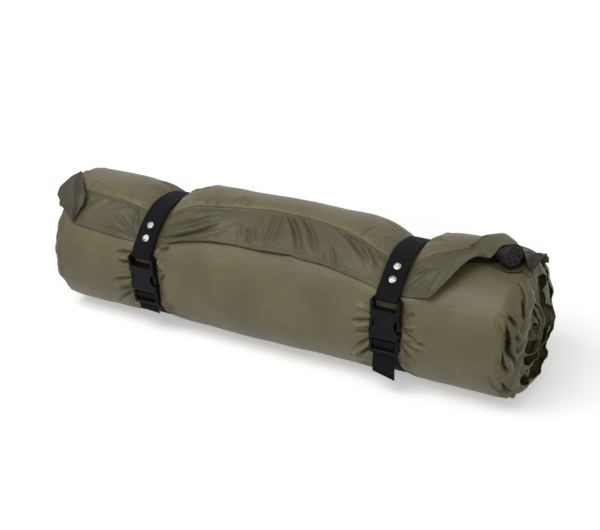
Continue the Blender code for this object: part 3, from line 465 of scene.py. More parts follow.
def flap_level(angle, x):
    """The loose end's outside, tented between the foam's end and its own edge, over the valve's base."""
    weld, hem = table(WELD, x), table(HEM, x)
    share = np.clip((angle - hem) / (weld - hem), 0, 1)
    lift = (1.5 + 3.6 * share**1.2) * MM
    for place, reach, height in HEM_GAPS:
        lift = lift + height * MM * bell(x / MM, place, reach) * (1 - share) ** 1.3
    level = under_flap(angle, x) + FLAP_THICKNESS + lift
    for side, strap_x in STRAP_X.items():
        room = level - ring_at(side, angle) + TURN_GAP
        level = level - np.maximum(room, 0) * groove(x - strap_x, angle)
    back, across = valve_frame(angle, x)
    behind = back - VALVE_LENGTH
    half = (13.6 + 3.5 * (across > 0) + 9 * smooth(behind / (30 * MM))) * MM
    sleeve = np.exp(-((across / half) ** 4)) * smooth((back + 6 * MM) / (10 * MM))
    sleeve = sleeve * (1 - smooth(behind / (44 * MM)))
    top = VALVE_HEIGHT + CAP_RADIUS + 2.2 * MM
    return level + np.maximum(top - level, 0) * sleeve


def foam_shoulder(psi, taper):
    """0 at the weld, rising in a rounded nose to 1 where the foam has its full thickness."""
    t = np.clip(psi / taper, 0, 1)
    return (1 - (1 - t) ** 2) ** 0.5


def roll_outside(psi, x):
    """The roll's outer face, psi radians in from the foam's end."""
    phi = psi + table(WELD, x)
    full = pressed(spiral(phi) + swelling(phi, x), phi, x, strap_clear(phi, x))
    start = flap_level(table(WELD, x), x) - END_SINK
    return start + (full - start) * foam_shoulder(psi, OUTER_NOSE)


def clear_of_straps(x):
    """0 under the straps and their buckles, 1 beside them."""
    share = 1.0
    for strap_x in STRAP_X.values():
        share = share * smooth((np.abs(x - strap_x) - 12.6 * MM) / (4 * MM))
    return share


def on_roll(x, radius, angle):
    """Points at a radius and an angle round the roll's axis."""
    x, radius, angle = np.broadcast_arrays(x, radius, angle)
    return np.stack([x, -radius * np.cos(angle), AXIS_HEIGHT + radius * np.sin(angle)], axis=-1)


# Meshes

def make_object(name, points, faces, flat, closed=False):
    """A smooth-shaded mesh from points and faces, with cloth coordinates in metres as its UV map."""
    mesh = bpy.data.meshes.new(name)
    mesh.from_pydata([tuple(p) for p in points], [], faces)
    mesh.validate()
    layer = mesh.uv_layers.new(name="cloth")
    corners = np.zeros(len(mesh.loops), int)
    mesh.loops.foreach_get("vertex_index", corners)
    layer.data.foreach_set("uv", np.asarray(flat, float)[corners].ravel())
    if closed:
        form = bmesh.new()
        form.from_mesh(mesh)
        bmesh.ops.recalc_face_normals(form, faces=form.faces)
        form.to_mesh(mesh)
        form.free()
    mesh.shade_smooth()
    made = bpy.data.objects.new(name, mesh)
    bpy.context.scene.collection.objects.link(made)
    return made


def grid_faces(rows, columns, start=0):
    index = start + np.arange(rows * columns).reshape(rows, columns)
    quads = np.stack([index[:-1, :-1], index[:-1, 1:], index[1:, 1:], index[1:, :-1]], axis=-1)
    return [tuple(q) for q in quads.reshape(-1, 4).tolist()]


def make_sheet(name, points, along, angle, material):
    """A grid of cloth, whose flat coordinates are its lengths along the roll and round it."""
    flat = np.stack(np.broadcast_arrays(along, angle * CLOTH_RADIUS), axis=-1)
    made = make_object(name, points.reshape(-1, 3), grid_faces(*points.shape[:2]), flat.reshape(-1, 2))
    wear_material(made, material)
    return made


def bridge(lower_places, lower_points, upper_places, upper_points):
    """Faces between two rows of points whose places along the roll differ."""
    lower = list(zip(lower_places.tolist(), lower_points.tolist()))
    upper = list(zip(upper_places.tolist(), upper_points.tolist()))
    faces = []
    i = j = 0
    while i < len(lower) - 1 or j < len(upper) - 1:
        next_lower = lower[i + 1][0] if i < len(lower) - 1 else math.inf
        next_upper = upper[j + 1][0] if j < len(upper) - 1 else math.inf
        corners = [lower[i][1]]
        if next_lower <= next_upper + 1e-9:
            i += 1
            corners.append(lower[i][1])
        before = upper[j][1]
        if next_upper <= next_lower + 1e-9:
            j += 1
            corners.append(upper[j][1])
        corners.append(before)
        corners = list(dict.fromkeys(corners))
        if len(corners) > 2:
            faces.append(tuple(corners))
    return faces


def paint_shade(obj, share):
    """Stores on each point how much painted shade darkens its nylon, from 0 to 1, for the nylon's material.
    """
    layer = obj.data.attributes.new("dark_share", "FLOAT", "POINT")
    layer.data.foreach_set("value", np.clip(share, 0, 1).astype(np.float32).ravel())


def solidify(obj, thickness, offset=-1.0):
    """Gives a sheet its thickness: inwards with offset -1, both ways with 0."""
    modifier = obj.modifiers.new("cloth_thickness", "SOLIDIFY")
    modifier.thickness = thickness
    modifier.offset = offset
    modifier.use_even_offset = False
    return modifier


def even_steps(low, high, step):
    return np.linspace(low, high, max(2, int(round((high - low) / step)) + 1))


# Shader helpers

class Nodes:
    """Short calls for adding and linking shader nodes."""

    def __init__(self, tree):
        self.tree = tree

    def add(self, kind, **settings):
        node = self.tree.nodes.new(kind)
        for key, value in settings.items():
            setattr(node, key, value)
        return node

    def link(self, source, target):
        self.tree.links.new(source, target)

    def feed(self, value, socket):
        if isinstance(value, bpy.types.NodeSocket):
            self.link(value, socket)
        elif isinstance(value, (tuple, list)) and socket.type == "RGBA" and len(value) == 3:
            socket.default_value = (*value, 1)
        else:
            socket.default_value = value

    def math(self, operation, *values, clamp=False):
        node = self.add("ShaderNodeMath", operation=operation, use_clamp=clamp)
        for value, socket in zip(values, node.inputs):
            self.feed(value, socket)
        return node.outputs[0]

    def mix(self, factor, a, b, blend="MIX"):
        node = self.add("ShaderNodeMix", data_type="RGBA", blend_type=blend)
        self.feed(factor, node.inputs["Factor"])
        self.feed(a, node.inputs[6])
        self.feed(b, node.inputs[7])
        return node.outputs[2]

    def grey(self, value):
        return self.mix(value, (0, 0, 0), (1, 1, 1))

    def place(self):
        """The surface's place on its object, in metres."""
        return self.add("ShaderNodeTexCoord").outputs["Object"]

    def cloth(self):
        """The surface's place on the flat cloth, in metres."""
        return self.add("ShaderNodeUVMap", uv_map="cloth").outputs[0]

    def effect(self, name, vector, **values):
        """Places a shared effect and returns its outputs; patch_scale sets its input Patch Scale."""
        tree = bpy.data.node_groups.get(name) or EFFECTS[name](name)
        node = self.add("ShaderNodeGroup", node_tree=tree)
        self.link(vector, node.inputs["Vector"])
        for key, value in values.items():
            node.inputs[key.replace("_", " ").title()].default_value = value
        return node.outputs

    def noise(self, vector, scale, detail=3.0, roughness=0.5):
        node = self.add("ShaderNodeTexNoise")
        self.feed(vector, node.inputs["Vector"])
        node.inputs["Scale"].default_value = scale
        node.inputs["Detail"].default_value = detail
        node.inputs["Roughness"].default_value = roughness
        return node.outputs["Fac"]

    def stretch(self, vector, scale):
        node = self.add("ShaderNodeMapping")
        self.feed(vector, node.inputs["Vector"])
        node.inputs["Scale"].default_value = scale
        return node.outputs["Vector"]

    def remap(self, value, low, high, to_low=0.0, to_high=1.0):
        node = self.add("ShaderNodeMapRange")
        self.feed(value, node.inputs["Value"])
        for name, number in (("From Min", low), ("From Max", high), ("To Min", to_low), ("To Max", to_high)):
            node.inputs[name].default_value = number
        return node.outputs["Result"]


def new_group(name, inputs, outputs):
    """An empty shader node group with named sockets: (name, type, default)."""
    group = bpy.data.node_groups.new(name, "ShaderNodeTree")
    for label, kind, default in inputs:
        socket = group.interface.new_socket(label, in_out="INPUT", socket_type=kind)
        if default is not None:
            socket.default_value = default
    for label, kind in outputs:
        group.interface.new_socket(label, in_out="OUTPUT", socket_type=kind)
    nodes = Nodes(group)
    return group, nodes, nodes.add("NodeGroupInput").outputs, nodes.add("NodeGroupOutput").inputs


def weave_group(name):
    """Plain-woven cloth: threads both ways as a height, and slubs as a mask."""
    group, n, given, out = new_group(
        name,
        [("Vector", "NodeSocketVector", None), ("Threads per Metre", "NodeSocketFloat", 2600.0)],
        [("Height", "NodeSocketFloat"), ("Slub", "NodeSocketFloat")],
    )
    axes = n.add("ShaderNodeSeparateXYZ")
    n.link(given["Vector"], axes.inputs[0])
    waves = []
    for axis in ("X", "Y"):
        turns = n.math("MULTIPLY", axes.outputs[axis], given["Threads per Metre"])
        waves.append(n.math("SINE", n.math("MULTIPLY", turns, math.pi)))
    over = n.math("MULTIPLY", waves[0], waves[1])
    n.link(n.math("MULTIPLY_ADD", over, 0.5, 0.5), out["Height"])
    along = n.noise(n.stretch(given["Vector"], (900, 30, 1)), 1.0, 2.0)
    across = n.noise(n.stretch(given["Vector"], (30, 900, 1)), 1.0, 2.0)
    n.link(n.remap(n.math("ADD", along, across), 0.7, 1.3), out["Slub"])
    return group


def patches_group(name):
    """Slow and fine variation as two masks, for handling marks and uneven dye."""
    group, n, given, out = new_group(
        name,
        [("Vector", "NodeSocketVector", None), ("Patch Scale", "NodeSocketFloat", 14.0)],
        [("Patches", "NodeSocketFloat"), ("Speckle", "NodeSocketFloat")],
    )
    slow = n.add("ShaderNodeTexNoise")
    n.link(given["Vector"], slow.inputs["Vector"])
    n.link(given["Patch Scale"], slow.inputs["Scale"])
    slow.inputs["Detail"].default_value = 4.0
    n.link(n.remap(slow.outputs["Fac"], 0.3, 0.7), out["Patches"])
    fine = n.noise(given["Vector"], 900.0, 2.0, 0.6)
    n.link(n.remap(fine, 0.35, 0.65), out["Speckle"])
    return group


def edge_wear_and_highlight_group(name):
    """Edges, partly worn and partly marked for painted highlight, and fine grain of moulded and plated
    pieces.
    """
    group, n, given, out = new_group(
        name,
        [("Vector", "NodeSocketVector", None), ("Wear", "NodeSocketFloat", 0.5)],
        [("Edges", "NodeSocketFloat"), ("Grain", "NodeSocketFloat")],
    )
    point = n.add("ShaderNodeNewGeometry").outputs["Pointiness"]
    patchy = n.noise(given["Vector"], 260.0, 4.0, 0.65)
    edge = n.math("MULTIPLY", n.remap(point, 0.51, 0.60), n.remap(patchy, 0.35, 0.6))
    n.link(n.math("MULTIPLY", edge, given["Wear"], clamp=True), out["Edges"])
    n.link(n.noise(given["Vector"], 1600.0, 2.0, 0.6), out["Grain"])
    return group


EFFECTS = {"plain_weave": weave_group, "handled_patches": patches_group, "edge_scuff": edge_wear_and_highlight_group}


def tone(colour, factor):
    return tuple(min(1.0, c * factor) for c in colour)


def new_material(name):
    made = bpy.data.materials.new(name)
    made.use_nodes = True
    made.node_tree.nodes.clear()
    n = Nodes(made.node_tree)
    shader = n.add("ShaderNodeBsdfPrincipled")
    end = n.add("ShaderNodeOutputMaterial")
    n.link(shader.outputs[0], end.inputs["Surface"])
    return made, n, shader


def bump(n, height, distance, strength, normal=None):
    node = n.add("ShaderNodeBump")
    node.inputs["Strength"].default_value = strength
    node.inputs["Distance"].default_value = distance
    n.link(height, node.inputs["Height"])
    if normal is not None:
        n.link(normal, node.inputs["Normal"])
    return node.outputs["Normal"]


def coated_nylon(name, colour, roughness, creases, shine):
    """Fine coated nylon with a soft sheen, uneven dye and small wrinkles, darkened by painted shade where
    its points are marked.
    """
    made, n, shader = new_material(name)
    cloth = n.cloth()
    weave = n.effect("plain_weave", cloth)
    handled = n.effect("handled_patches", n.place())
    base = n.mix(handled["Patches"], tone(colour, 0.77), tone(colour, 1.15))
    slub = n.grey(n.remap(weave["Slub"], 0.0, 1.0, 0.87, 1.09))
    base = n.mix(1.0, base, slub, "MULTIPLY")
    # Painted shade: marked points darken towards a tenth of the nylon's colour
    shade_share = n.add("ShaderNodeAttribute", attribute_name="dark_share").outputs["Fac"]
    n.link(n.mix(shade_share, base, tone(colour, 0.1)), shader.inputs["Base Color"])
    rough = n.remap(handled["Speckle"], 0.0, 1.0, roughness - 0.04, roughness + 0.05)
    n.link(rough, shader.inputs["Roughness"])
    shader.inputs["Specular IOR Level"].default_value = shine
    wrinkles = n.noise(n.stretch(cloth, (1.0, 1.6, 1.0)), 120.0, 3.0, 0.55)
    normal = bump(n, wrinkles, 1.2 * MM * creases, 0.5)
    n.link(bump(n, weave["Height"], 0.06 * MM, 0.6, normal), shader.inputs["Normal"])
    return made


def webbing_material(colour):
    """Black ribbed webbing: rounded ribs across it, a twill over them, and a little fuzz; its ribs' crests
    are lighter and their grooves darker, as painted highlight and shade.
    """
    made, n, shader = new_material("ribbed_webbing")
    axes = n.add("ShaderNodeSeparateXYZ")
    n.link(n.cloth(), axes.inputs[0])
    across, along = axes.outputs["X"], axes.outputs["Y"]
    rib_turns = n.math("MULTIPLY", along, TURN / RIB_PITCH)
    twill = n.math("SINE", n.math("ADD", rib_turns, n.math("MULTIPLY", across, TURN / TWILL_PITCH)))
    yarn = n.math("SINE", n.math("MULTIPLY", across, TURN / YARN_PITCH))
    woven = n.math("MULTIPLY", n.math("MULTIPLY", twill, yarn), 0.35)
    height = n.math("ADD", n.math("MULTIPLY", n.math("SINE", rib_turns), 0.5), woven)
    fuzz = n.effect("handled_patches", n.place(), patch_scale=60.0)
    # Painted highlight on the ribs' crests and painted shade in their grooves
    base = n.mix(n.remap(height, -0.8, 0.8), tone(colour, 0.55), tone(colour, 2.4))
    base = n.mix(n.math("MULTIPLY", fuzz["Speckle"], 0.25), base, tone(colour, 2.2))
    n.link(base, shader.inputs["Base Color"])
    n.link(n.remap(fuzz["Patches"], 0.0, 1.0, 0.52, 0.68), shader.inputs["Roughness"])
    shader.inputs["Specular IOR Level"].default_value = 0.045
    n.link(bump(n, height, 0.22 * MM, 0.9), shader.inputs["Normal"])
    return made


def moulded_plastic(name, colour, roughness, wear, shine=0.16):
    """Moulded plastic: fine mould grain, paler edges that are partly wear and partly painted highlight, and
    slightly uneven gloss.
    """
    made, n, shader = new_material(name)
    place = n.place()
    scuff = n.effect("edge_scuff", place, wear=wear)
    handled = n.effect("handled_patches", place, patch_scale=90.0)
    # Paler edges: partly wear, partly painted highlight
    worn_and_highlit = tuple(c * 2.4 + 0.006 for c in colour)
    base = n.mix(n.math("MULTIPLY", handled["Patches"], 0.3), colour, tone(colour, 1.35))
    n.link(n.mix(scuff["Edges"], base, worn_and_highlit), shader.inputs["Base Color"])
    rough = n.remap(handled["Patches"], 0.0, 1.0, roughness - 0.05, roughness + 0.06)
    rough = n.math("SUBTRACT", rough, n.math("MULTIPLY", scuff["Edges"], 0.12))
    n.link(rough, shader.inputs["Roughness"])
    shader.inputs["Specular IOR Level"].default_value = shine
    n.link(bump(n, scuff["Grain"], 0.08 * MM, 0.35), shader.inputs["Normal"])
    return made


def plated_metal(colour):
    """Nickel plate with small dents and grain."""
    made, n, shader = new_material("scuffed_nickel")
    place = n.place()
    scuff = n.effect("edge_scuff", place)
    dents = n.noise(place, 420.0, 3.0, 0.6)
    base = n.mix(n.remap(dents, 0.42, 0.58), tone(colour, 0.35), colour)
    n.link(base, shader.inputs["Base Color"])
    n.link(n.remap(dents, 0.3, 0.7, 0.5, 0.3), shader.inputs["Roughness"])
    shader.inputs["Metallic"].default_value = 1.0
    height = n.math("ADD", dents, n.math("MULTIPLY", scuff["Grain"], 0.3))
    n.link(bump(n, height, 0.6 * MM, 0.5), shader.inputs["Normal"])
    return made


def rubbery(name, colour, roughness):
    """Moulded rubber or silicone, uneven in colour and slightly see-through at its skin."""
    made, n, shader = new_material(name)
    handled = n.effect("handled_patches", n.place(), patch_scale=120.0)
    base = n.mix(handled["Patches"], tone(colour, 0.8), tone(colour, 1.15))
    n.link(base, shader.inputs["Base Color"])
    rough = n.remap(handled["Speckle"], 0.0, 1.0, roughness - 0.05, roughness + 0.05)
    n.link(rough, shader.inputs["Roughness"])
    shader.inputs["Subsurface Weight"].default_value = 0.05
    n.link(bump(n, handled["Speckle"], 0.05 * MM, 0.3), shader.inputs["Normal"])
    return made


def wear_material(obj, material):
    """Puts one material on an object, in place of what it has."""
    obj.data.materials.clear()
    obj.data.materials.append(material)


# The nylon's finishes: which colour, how much of it, roughness, depth of its wrinkles, and gloss
NYLONS = {
    "nylon_roll": ("nylon", 1.0, 0.44, 1.0, 0.3),
    # Painted shade: the darker nylon for cloth that lies in shade
    "nylon_inner": ("nylon_inside", 1.0, 0.5, 1.0, 0.3),
    "nylon_end": ("nylon_end", 1.0, 0.4, 1.2, 0.2),
    # The side hems take the roll's nylon at 0.9 of its colour, as painted shade over the roll's ends
    "nylon_side": ("nylon", 0.9, 0.42, 1.2, 0.22),
}


def nylon(kind):
    colour, share, *finish = NYLONS[kind]
    look = getattr(bpy.context.scene.mat_colours, colour)
    return bpy.data.materials.get(kind) or coated_nylon(kind, tone(look, share), *finish)


# The mat's pieces

# Columns of the roll's outside: an even step, and places on its rounded sides (mm)
SEEN_STEP = 1.9 * MM
SIDE_ROUNDING = 11 * MM
SIDE_PLACES = (263.5, 265.5, 267.2, 268.6, 269.5, 270)

# Columns where it can't be seen (mm)
HIDDEN_HALF = [
    30, 70, 100, 118, 126, 131, 134, 147, 160, 163, 170, 182, 200, 220, 240, 259, 263.5, 267, 269, 270,
]
HIDDEN = np.array([-x for x in HIDDEN_HALF[::-1]] + HIDDEN_HALF) * MM

# How far round the outermost turn and the whole spiral go
OUTER_SPAN = TURN + 10 * DEG
FULL_SPAN = TURNS * TURN


def roll_columns():
    even = even_steps(-261 * MM, 261 * MM, SEEN_STEP)
    out = np.arange(12.9, 42, 1.3)
    beside = [s * (STRAP_OUT + d) * MM for s in (-1, 1) for d in np.concatenate([-out, out])]
    sides = [s * d * MM for s in (-1, 1) for d in SIDE_PLACES]
    columns = np.unique(np.round(np.concatenate([even, beside, sides]), 6))
    apart = np.concatenate([[True], np.diff(columns) > 0.45 * MM])
    return columns[apart]


def end_share(x):
    """The slab's thickness share, closing in a rounded edge at the mat's sides."""
    t = np.clip((np.abs(x) - (HALF_WIDTH - SIDE_ROUNDING)) / SIDE_ROUNDING, 0, 1)
    return np.sqrt(np.maximum(0.0, 1 - t * t))


def hidden_drop(x):
    """Turns deep inside sink a little in the middle, clear of the straps' grooves."""
    return 15 * MM * smooth((206 * MM - np.abs(x)) / (24 * MM))


def floor_scaled(radius, phi):
    """A radius inside the roll, moved in where the floor flattens the turns outside it."""
    down = np.maximum(-np.sin(phi), 1e-3)
    outside = ROLL_RADIUS - 6 * MM
    depth = np.where(down > 0.7, np.maximum(0.0, outside - (AXIS_HEIGHT - 1 * MM) / down), 0.0)
    return radius - depth * np.clip((radius - FIRM_RADIUS) / (outside - FIRM_RADIUS), 0, 1)


def inner_turn(phi, x):
    """The outside of a turn below the outermost one."""
    radius = floor_scaled(spiral(phi), phi)
    dent = 1.2 * VALVE_DENT * near(x, np.mod(phi, TURN), *VALVE_SEAT, 60 * MM, 50 * DEG)
    return radius - hidden_drop(x) - dent * np.clip((radius - 50 * MM) / (30 * MM), 0, 1) - 1.2 * MM


def roll_folds(psi, x):
    """Wrinkles on the outermost turn: round the straps, at the weld, and small uneven ones."""
    phi = psi + table(WELD, x)
    angle = np.mod(phi + math.pi, TURN) - math.pi
    share = clear_of_straps(x)
    strength = bpy.context.scene.mat_shape.pucker_strength
    raised = (folds(x, angle, ROLL_FOLDS) * 2.2 + folds(x, angle, strap_puckers())) * strength
    raised = raised + folds(x, phi, weld_puckers()) * np.where(psi < 0.5 * math.pi, 1.7, 0.0)
    slow = noise(x / (46 * MM), phi * 2.1, 3) * 0.5 + noise(x / (19 * MM), phi * 3.6, 4) * 0.25
    fine = noise(x / (9 * MM), phi * 11.0, 5) * 0.09
    covered = 1 - smooth((phi - TURN - table(HEM, x)) / (6 * DEG))
    return (raised * covered + (slow + fine) * MM) * share


def make_roll():
    """The foam-filled mat, wound from its foam's end to its core as one closed pad."""
    columns = roll_columns()
    step = bpy.context.scene.mat_shape.cloth_step / ROLL_RADIUS
    fine = even_steps(0.0, OUTER_SPAN, step)
    first = np.array([0, 0.6, 1.4, 2.6, 4.2, 6.2]) * DEG
    fine = np.unique(np.round(np.concatenate([first, fine[fine > 7.4 * DEG]]), 6))
    coarse = np.arange(OUTER_SPAN + 5 * DEG, FULL_SPAN, 6 * DEG)
    everything = np.concatenate([fine, coarse])

    def inside(psi, x):
        """The pad's inner face, just outside the next turn."""
        phi = psi[:, None] + table(WELD, x)[None, :]
        full = inner_turn(phi + TURN, x[None, :]) + TURN_GAP
        start = flap_level(table(WELD, x), x)[None, :] - END_SINK
        return start + (full - start) * foam_shoulder(psi[:, None], INNER_NOSE)

    def outside(psi, x):
        phi = psi[:, None] + table(WELD, x)[None, :]
        wrinkles = roll_folds(psi[:, None], x[None, :]) * smooth(psi[:, None] / (4 * DEG))
        outer = roll_outside(psi[:, None], x[None, :]) + wrinkles
        deep = inner_turn(phi, x[None, :])
        return np.where(psi[:, None] <= OUTER_SPAN + 1e-6, outer, deep)

    def closed(radius, side_middles, x):
        """A face drawn in to the slab's middle at its rounded sides."""
        middle = np.where(x[None, :] < 0, side_middles[:, :1], side_middles[:, 1:])
        return middle + (radius - middle) * end_share(x)[None, :]

    points, flat = [], []

    def place(psi_rows, x, radius):
        """Adds a grid of points and returns their numbers."""
        phi = psi_rows[:, None] + table(WELD, x)[None, :]
        start = sum(len(p) for p in points)
        points.append(on_roll(x[None, :], radius, phi).reshape(-1, 3))
        flat.append(np.stack(np.broadcast_arrays(x[None, :], phi * CLOTH_RADIUS), axis=-1).reshape(-1, 2))
        return start + np.arange(phi.size).reshape(phi.shape)

    # Outer and inner faces meet half-way between them at each side
    outer_fine, inner_fine = outside(fine, columns), inside(fine, columns)
    edges = [0, -1]
    middle_fine = (outer_fine[:, edges] + inner_fine[:, edges]) / 2
    outer_index = place(fine, columns, closed(outer_fine, middle_fine, columns))
    outer_deep, inner_all = outside(coarse, HIDDEN), inside(everything, HIDDEN)
    middle_deep = (outer_deep[:, edges] + inner_all[len(fine):][:, edges]) / 2
    deep_index = place(coarse, HIDDEN, closed(outer_deep, middle_deep, HIDDEN))
    inner_radius = closed(inner_all, np.concatenate([middle_fine, middle_deep]), HIDDEN)
    inner_index = place(everything[1:], HIDDEN[1:-1], inner_radius[1:, 1:-1])

    faces = grid_faces(*outer_index.shape)
    faces += bridge(columns, outer_index[-1], HIDDEN, deep_index[0])
    faces += grid_faces(*deep_index.shape, start=int(deep_index[0, 0]))
    sides = np.concatenate([outer_index[1:, edges], deep_index[:, edges]])
    inner_full = np.concatenate([sides[:, :1], inner_index, sides[:, 1:]], axis=1)
    faces += bridge(columns, outer_index[0], HIDDEN, inner_full[0])
    low, high = inner_full[:-1], inner_full[1:]
    quads = np.stack([low[:, :-1], high[:, :-1], high[:, 1:], low[:, 1:]], axis=-1).reshape(-1, 4)
    faces += [tuple(q) for q in quads.tolist()]
    faces += bridge(HIDDEN, deep_index[-1], HIDDEN, inner_full[-1])
    points = np.concatenate(points)
    points[:, 2] = np.maximum(points[:, 2], 0.1 * MM)
    made = make_object("mat_roll", points, faces, np.concatenate(flat), closed=True)
    wear_material(made, nylon("nylon_roll"))
    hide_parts("foam_core", "shell_outer_sheet", "shell_inner_sheet")
    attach(made, "mat")


# The loose end's seams: two grooves in from its hem, and a ridge and a dip below the weld (mm)
HEM_SEAM = (1.4, 5.4)
HEM_ROWS = np.array([0.0, 0.5, 1.1, 1.8, 2.6, 3.5, 4.4, 5.1, 5.8, 6.5, 7.5]) * MM
FLAP_SPAN = (-277 * MM, 278.5 * MM)
CRUMPLED_FROM = {"left": -265 * MM, "right": 257 * MM}


def make_flap():
    """The mat's loose end beyond its foam: two sheets welded at the hem, and crumpled at its corners."""
    columns = even_steps(*FLAP_SPAN, 1.45 * MM)
    weld, hem = table(WELD, columns), table(HEM, columns)
    arc = (weld - hem) * CLOTH_RADIUS
    last = HEM_ROWS[-1]
    rows = [hem + distance / CLOTH_RADIUS for distance in HEM_ROWS]
    for share in np.linspace(0, 1, 44)[1:]:
        rows.append(hem + (last + (arc + 0.9 * MM - last) * share) / CLOTH_RADIUS)
    angle = np.array(rows)
    x = np.broadcast_to(columns, angle.shape)
    distance = (angle - hem) * CLOTH_RADIUS
    radius = flap_level(np.minimum(angle, weld), x)

    edge_fade = smooth(distance / (7 * MM)) * 0.6 + 0.4
    weld_fade = smooth((weld - angle) / (5 * DEG)) * 0.85 + 0.15
    wrinkles = folds(x, angle, FLAP_FOLDS) * edge_fade * weld_fade * 1.9
    wrinkles = wrinkles + folds(x, angle, [f for f in strap_puckers() if 28 < f[1] < 60]) * 0.6
    wrinkles = FOLD_LIMIT * np.tanh(wrinkles / FOLD_LIMIT)
    slow = noise(x / (26 * MM), angle * 4.0, 21) * 0.7
    slow = slow + facets(x / (15 * MM) + angle * 2, angle * 7.0, 22) * 0.5
    back, across = valve_frame(angle, x)
    by_valve = bell(across, 0, 26 * MM) * bell(back, 0, 44 * MM)
    radius = radius + (wrinkles + slow * MM * weld_fade) * clear_of_straps(x) * (1 - by_valve)

    for place in HEM_SEAM:
        radius = radius - 0.5 * MM * bell(distance / MM, place, 0.55)
    to_weld = (arc - distance) / MM
    radius = radius + (bell(to_weld, 1.5, 0.7) - 0.9 * bell(to_weld, 3.2, 0.8)) * MM

    past = np.maximum(x - CRUMPLED_FROM["right"], CRUMPLED_FROM["left"] - x)
    beyond = np.clip(past / (14 * MM), 0, 1)
    fine_facets = facets(angle * 21, x / (6 * MM), 32)
    crumple = facets(angle * 9, x / (9 * MM), 31) * 5.0 + fine_facets * 2.4
    radius = radius + (crumple - 4.5) * MM * beyond
    under = under_flap(angle, x) + FLAP_GAP
    radius = np.maximum(radius, np.where(beyond > 0, 0, under))

    made = make_sheet("mat_loose_end", on_roll(x, radius, angle), x, angle, nylon("nylon_end"))
    # The crumpled end past SHADE_FROM and the inner shell wear the darker nylon as painted shade
    made.data.materials.append(nylon("nylon_inner"))
    for face in made.data.polygons:
        face.material_index = int(face.center.x > SHADE_FROM)
    # Painted shade darkens the crumpled end, with a ragged edge
    paint_shade(made, 0.8 * smooth((x - 263 * MM) / (7 * MM) - 0.45 * fine_facets))
    solidify(made, 1.1 * MM).material_offset = 1
    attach(made, "mat")


def make_valve_lip():
    """The lower sheet's corner under the valve, where the loose end's two sheets part round it."""
    x = even_steps(LIP[0][0] * MM, 269 * MM, 1.5 * MM)[None, :]
    low = table(LIP, x)
    share = np.linspace(0, 1, 24)[:, None]
    angle = low + (LIP_TOP - low) * share
    x = np.broadcast_to(x, angle.shape)
    wave = 1.3 * facets(x / (11 * MM), angle * 9, 91) + 0.8 * np.exp(-share / 0.08)
    radius = under_flap(angle, x) + (1.1 + np.maximum(wave, -0.3)) * MM
    # The lip wears the darker nylon as painted shade
    made = make_sheet("mat_valve_lip", on_roll(x, radius, angle), x, angle, nylon("nylon_inner"))
    solidify(made, 0.7 * MM)
    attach(made, "mat")


def make_folded_corner():
    """The mat's left corner, folded back so that its inside shows as two facets, in the darker nylon as
    painted shade.
    """
    facet_steps = 12
    t = np.linspace(0, 1, 41)

    def line(rows):
        rows = np.array(rows, float)
        places = np.linspace(0, 1, len(rows))
        return np.stack([np.interp(t, places, rows[:, k]) for k in range(3)], axis=-1)

    left, ridge, right = (line(rows) for rows in (CORNER_LEFT, CORNER_RIDGE, CORNER_RIGHT))
    rows = []
    for share in np.linspace(0, 2, 2 * facet_steps + 1):
        a, b, s = (left, ridge, share) if share <= 1 else (ridge, right, share - 1)
        row = a + (b - a) * s
        sag = 2.2 * np.sin(math.pi * s) * np.sin(math.pi * t) ** 0.7
        row[:, 2] += 0.5 * noise(row[:, 0] / 9, row[:, 1] / 7, 41) - sag
        rows.append(row)
    x, angle, radius = np.moveaxis(np.array(rows), -1, 0)
    x, angle, radius = x * MM, angle * DEG, radius * MM
    made = make_sheet("mat_folded_corner", on_roll(x, radius, angle), x, angle, nylon("nylon_inner"))
    solidify(made, 0.8 * MM, 0.0)
    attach(made, "mat")


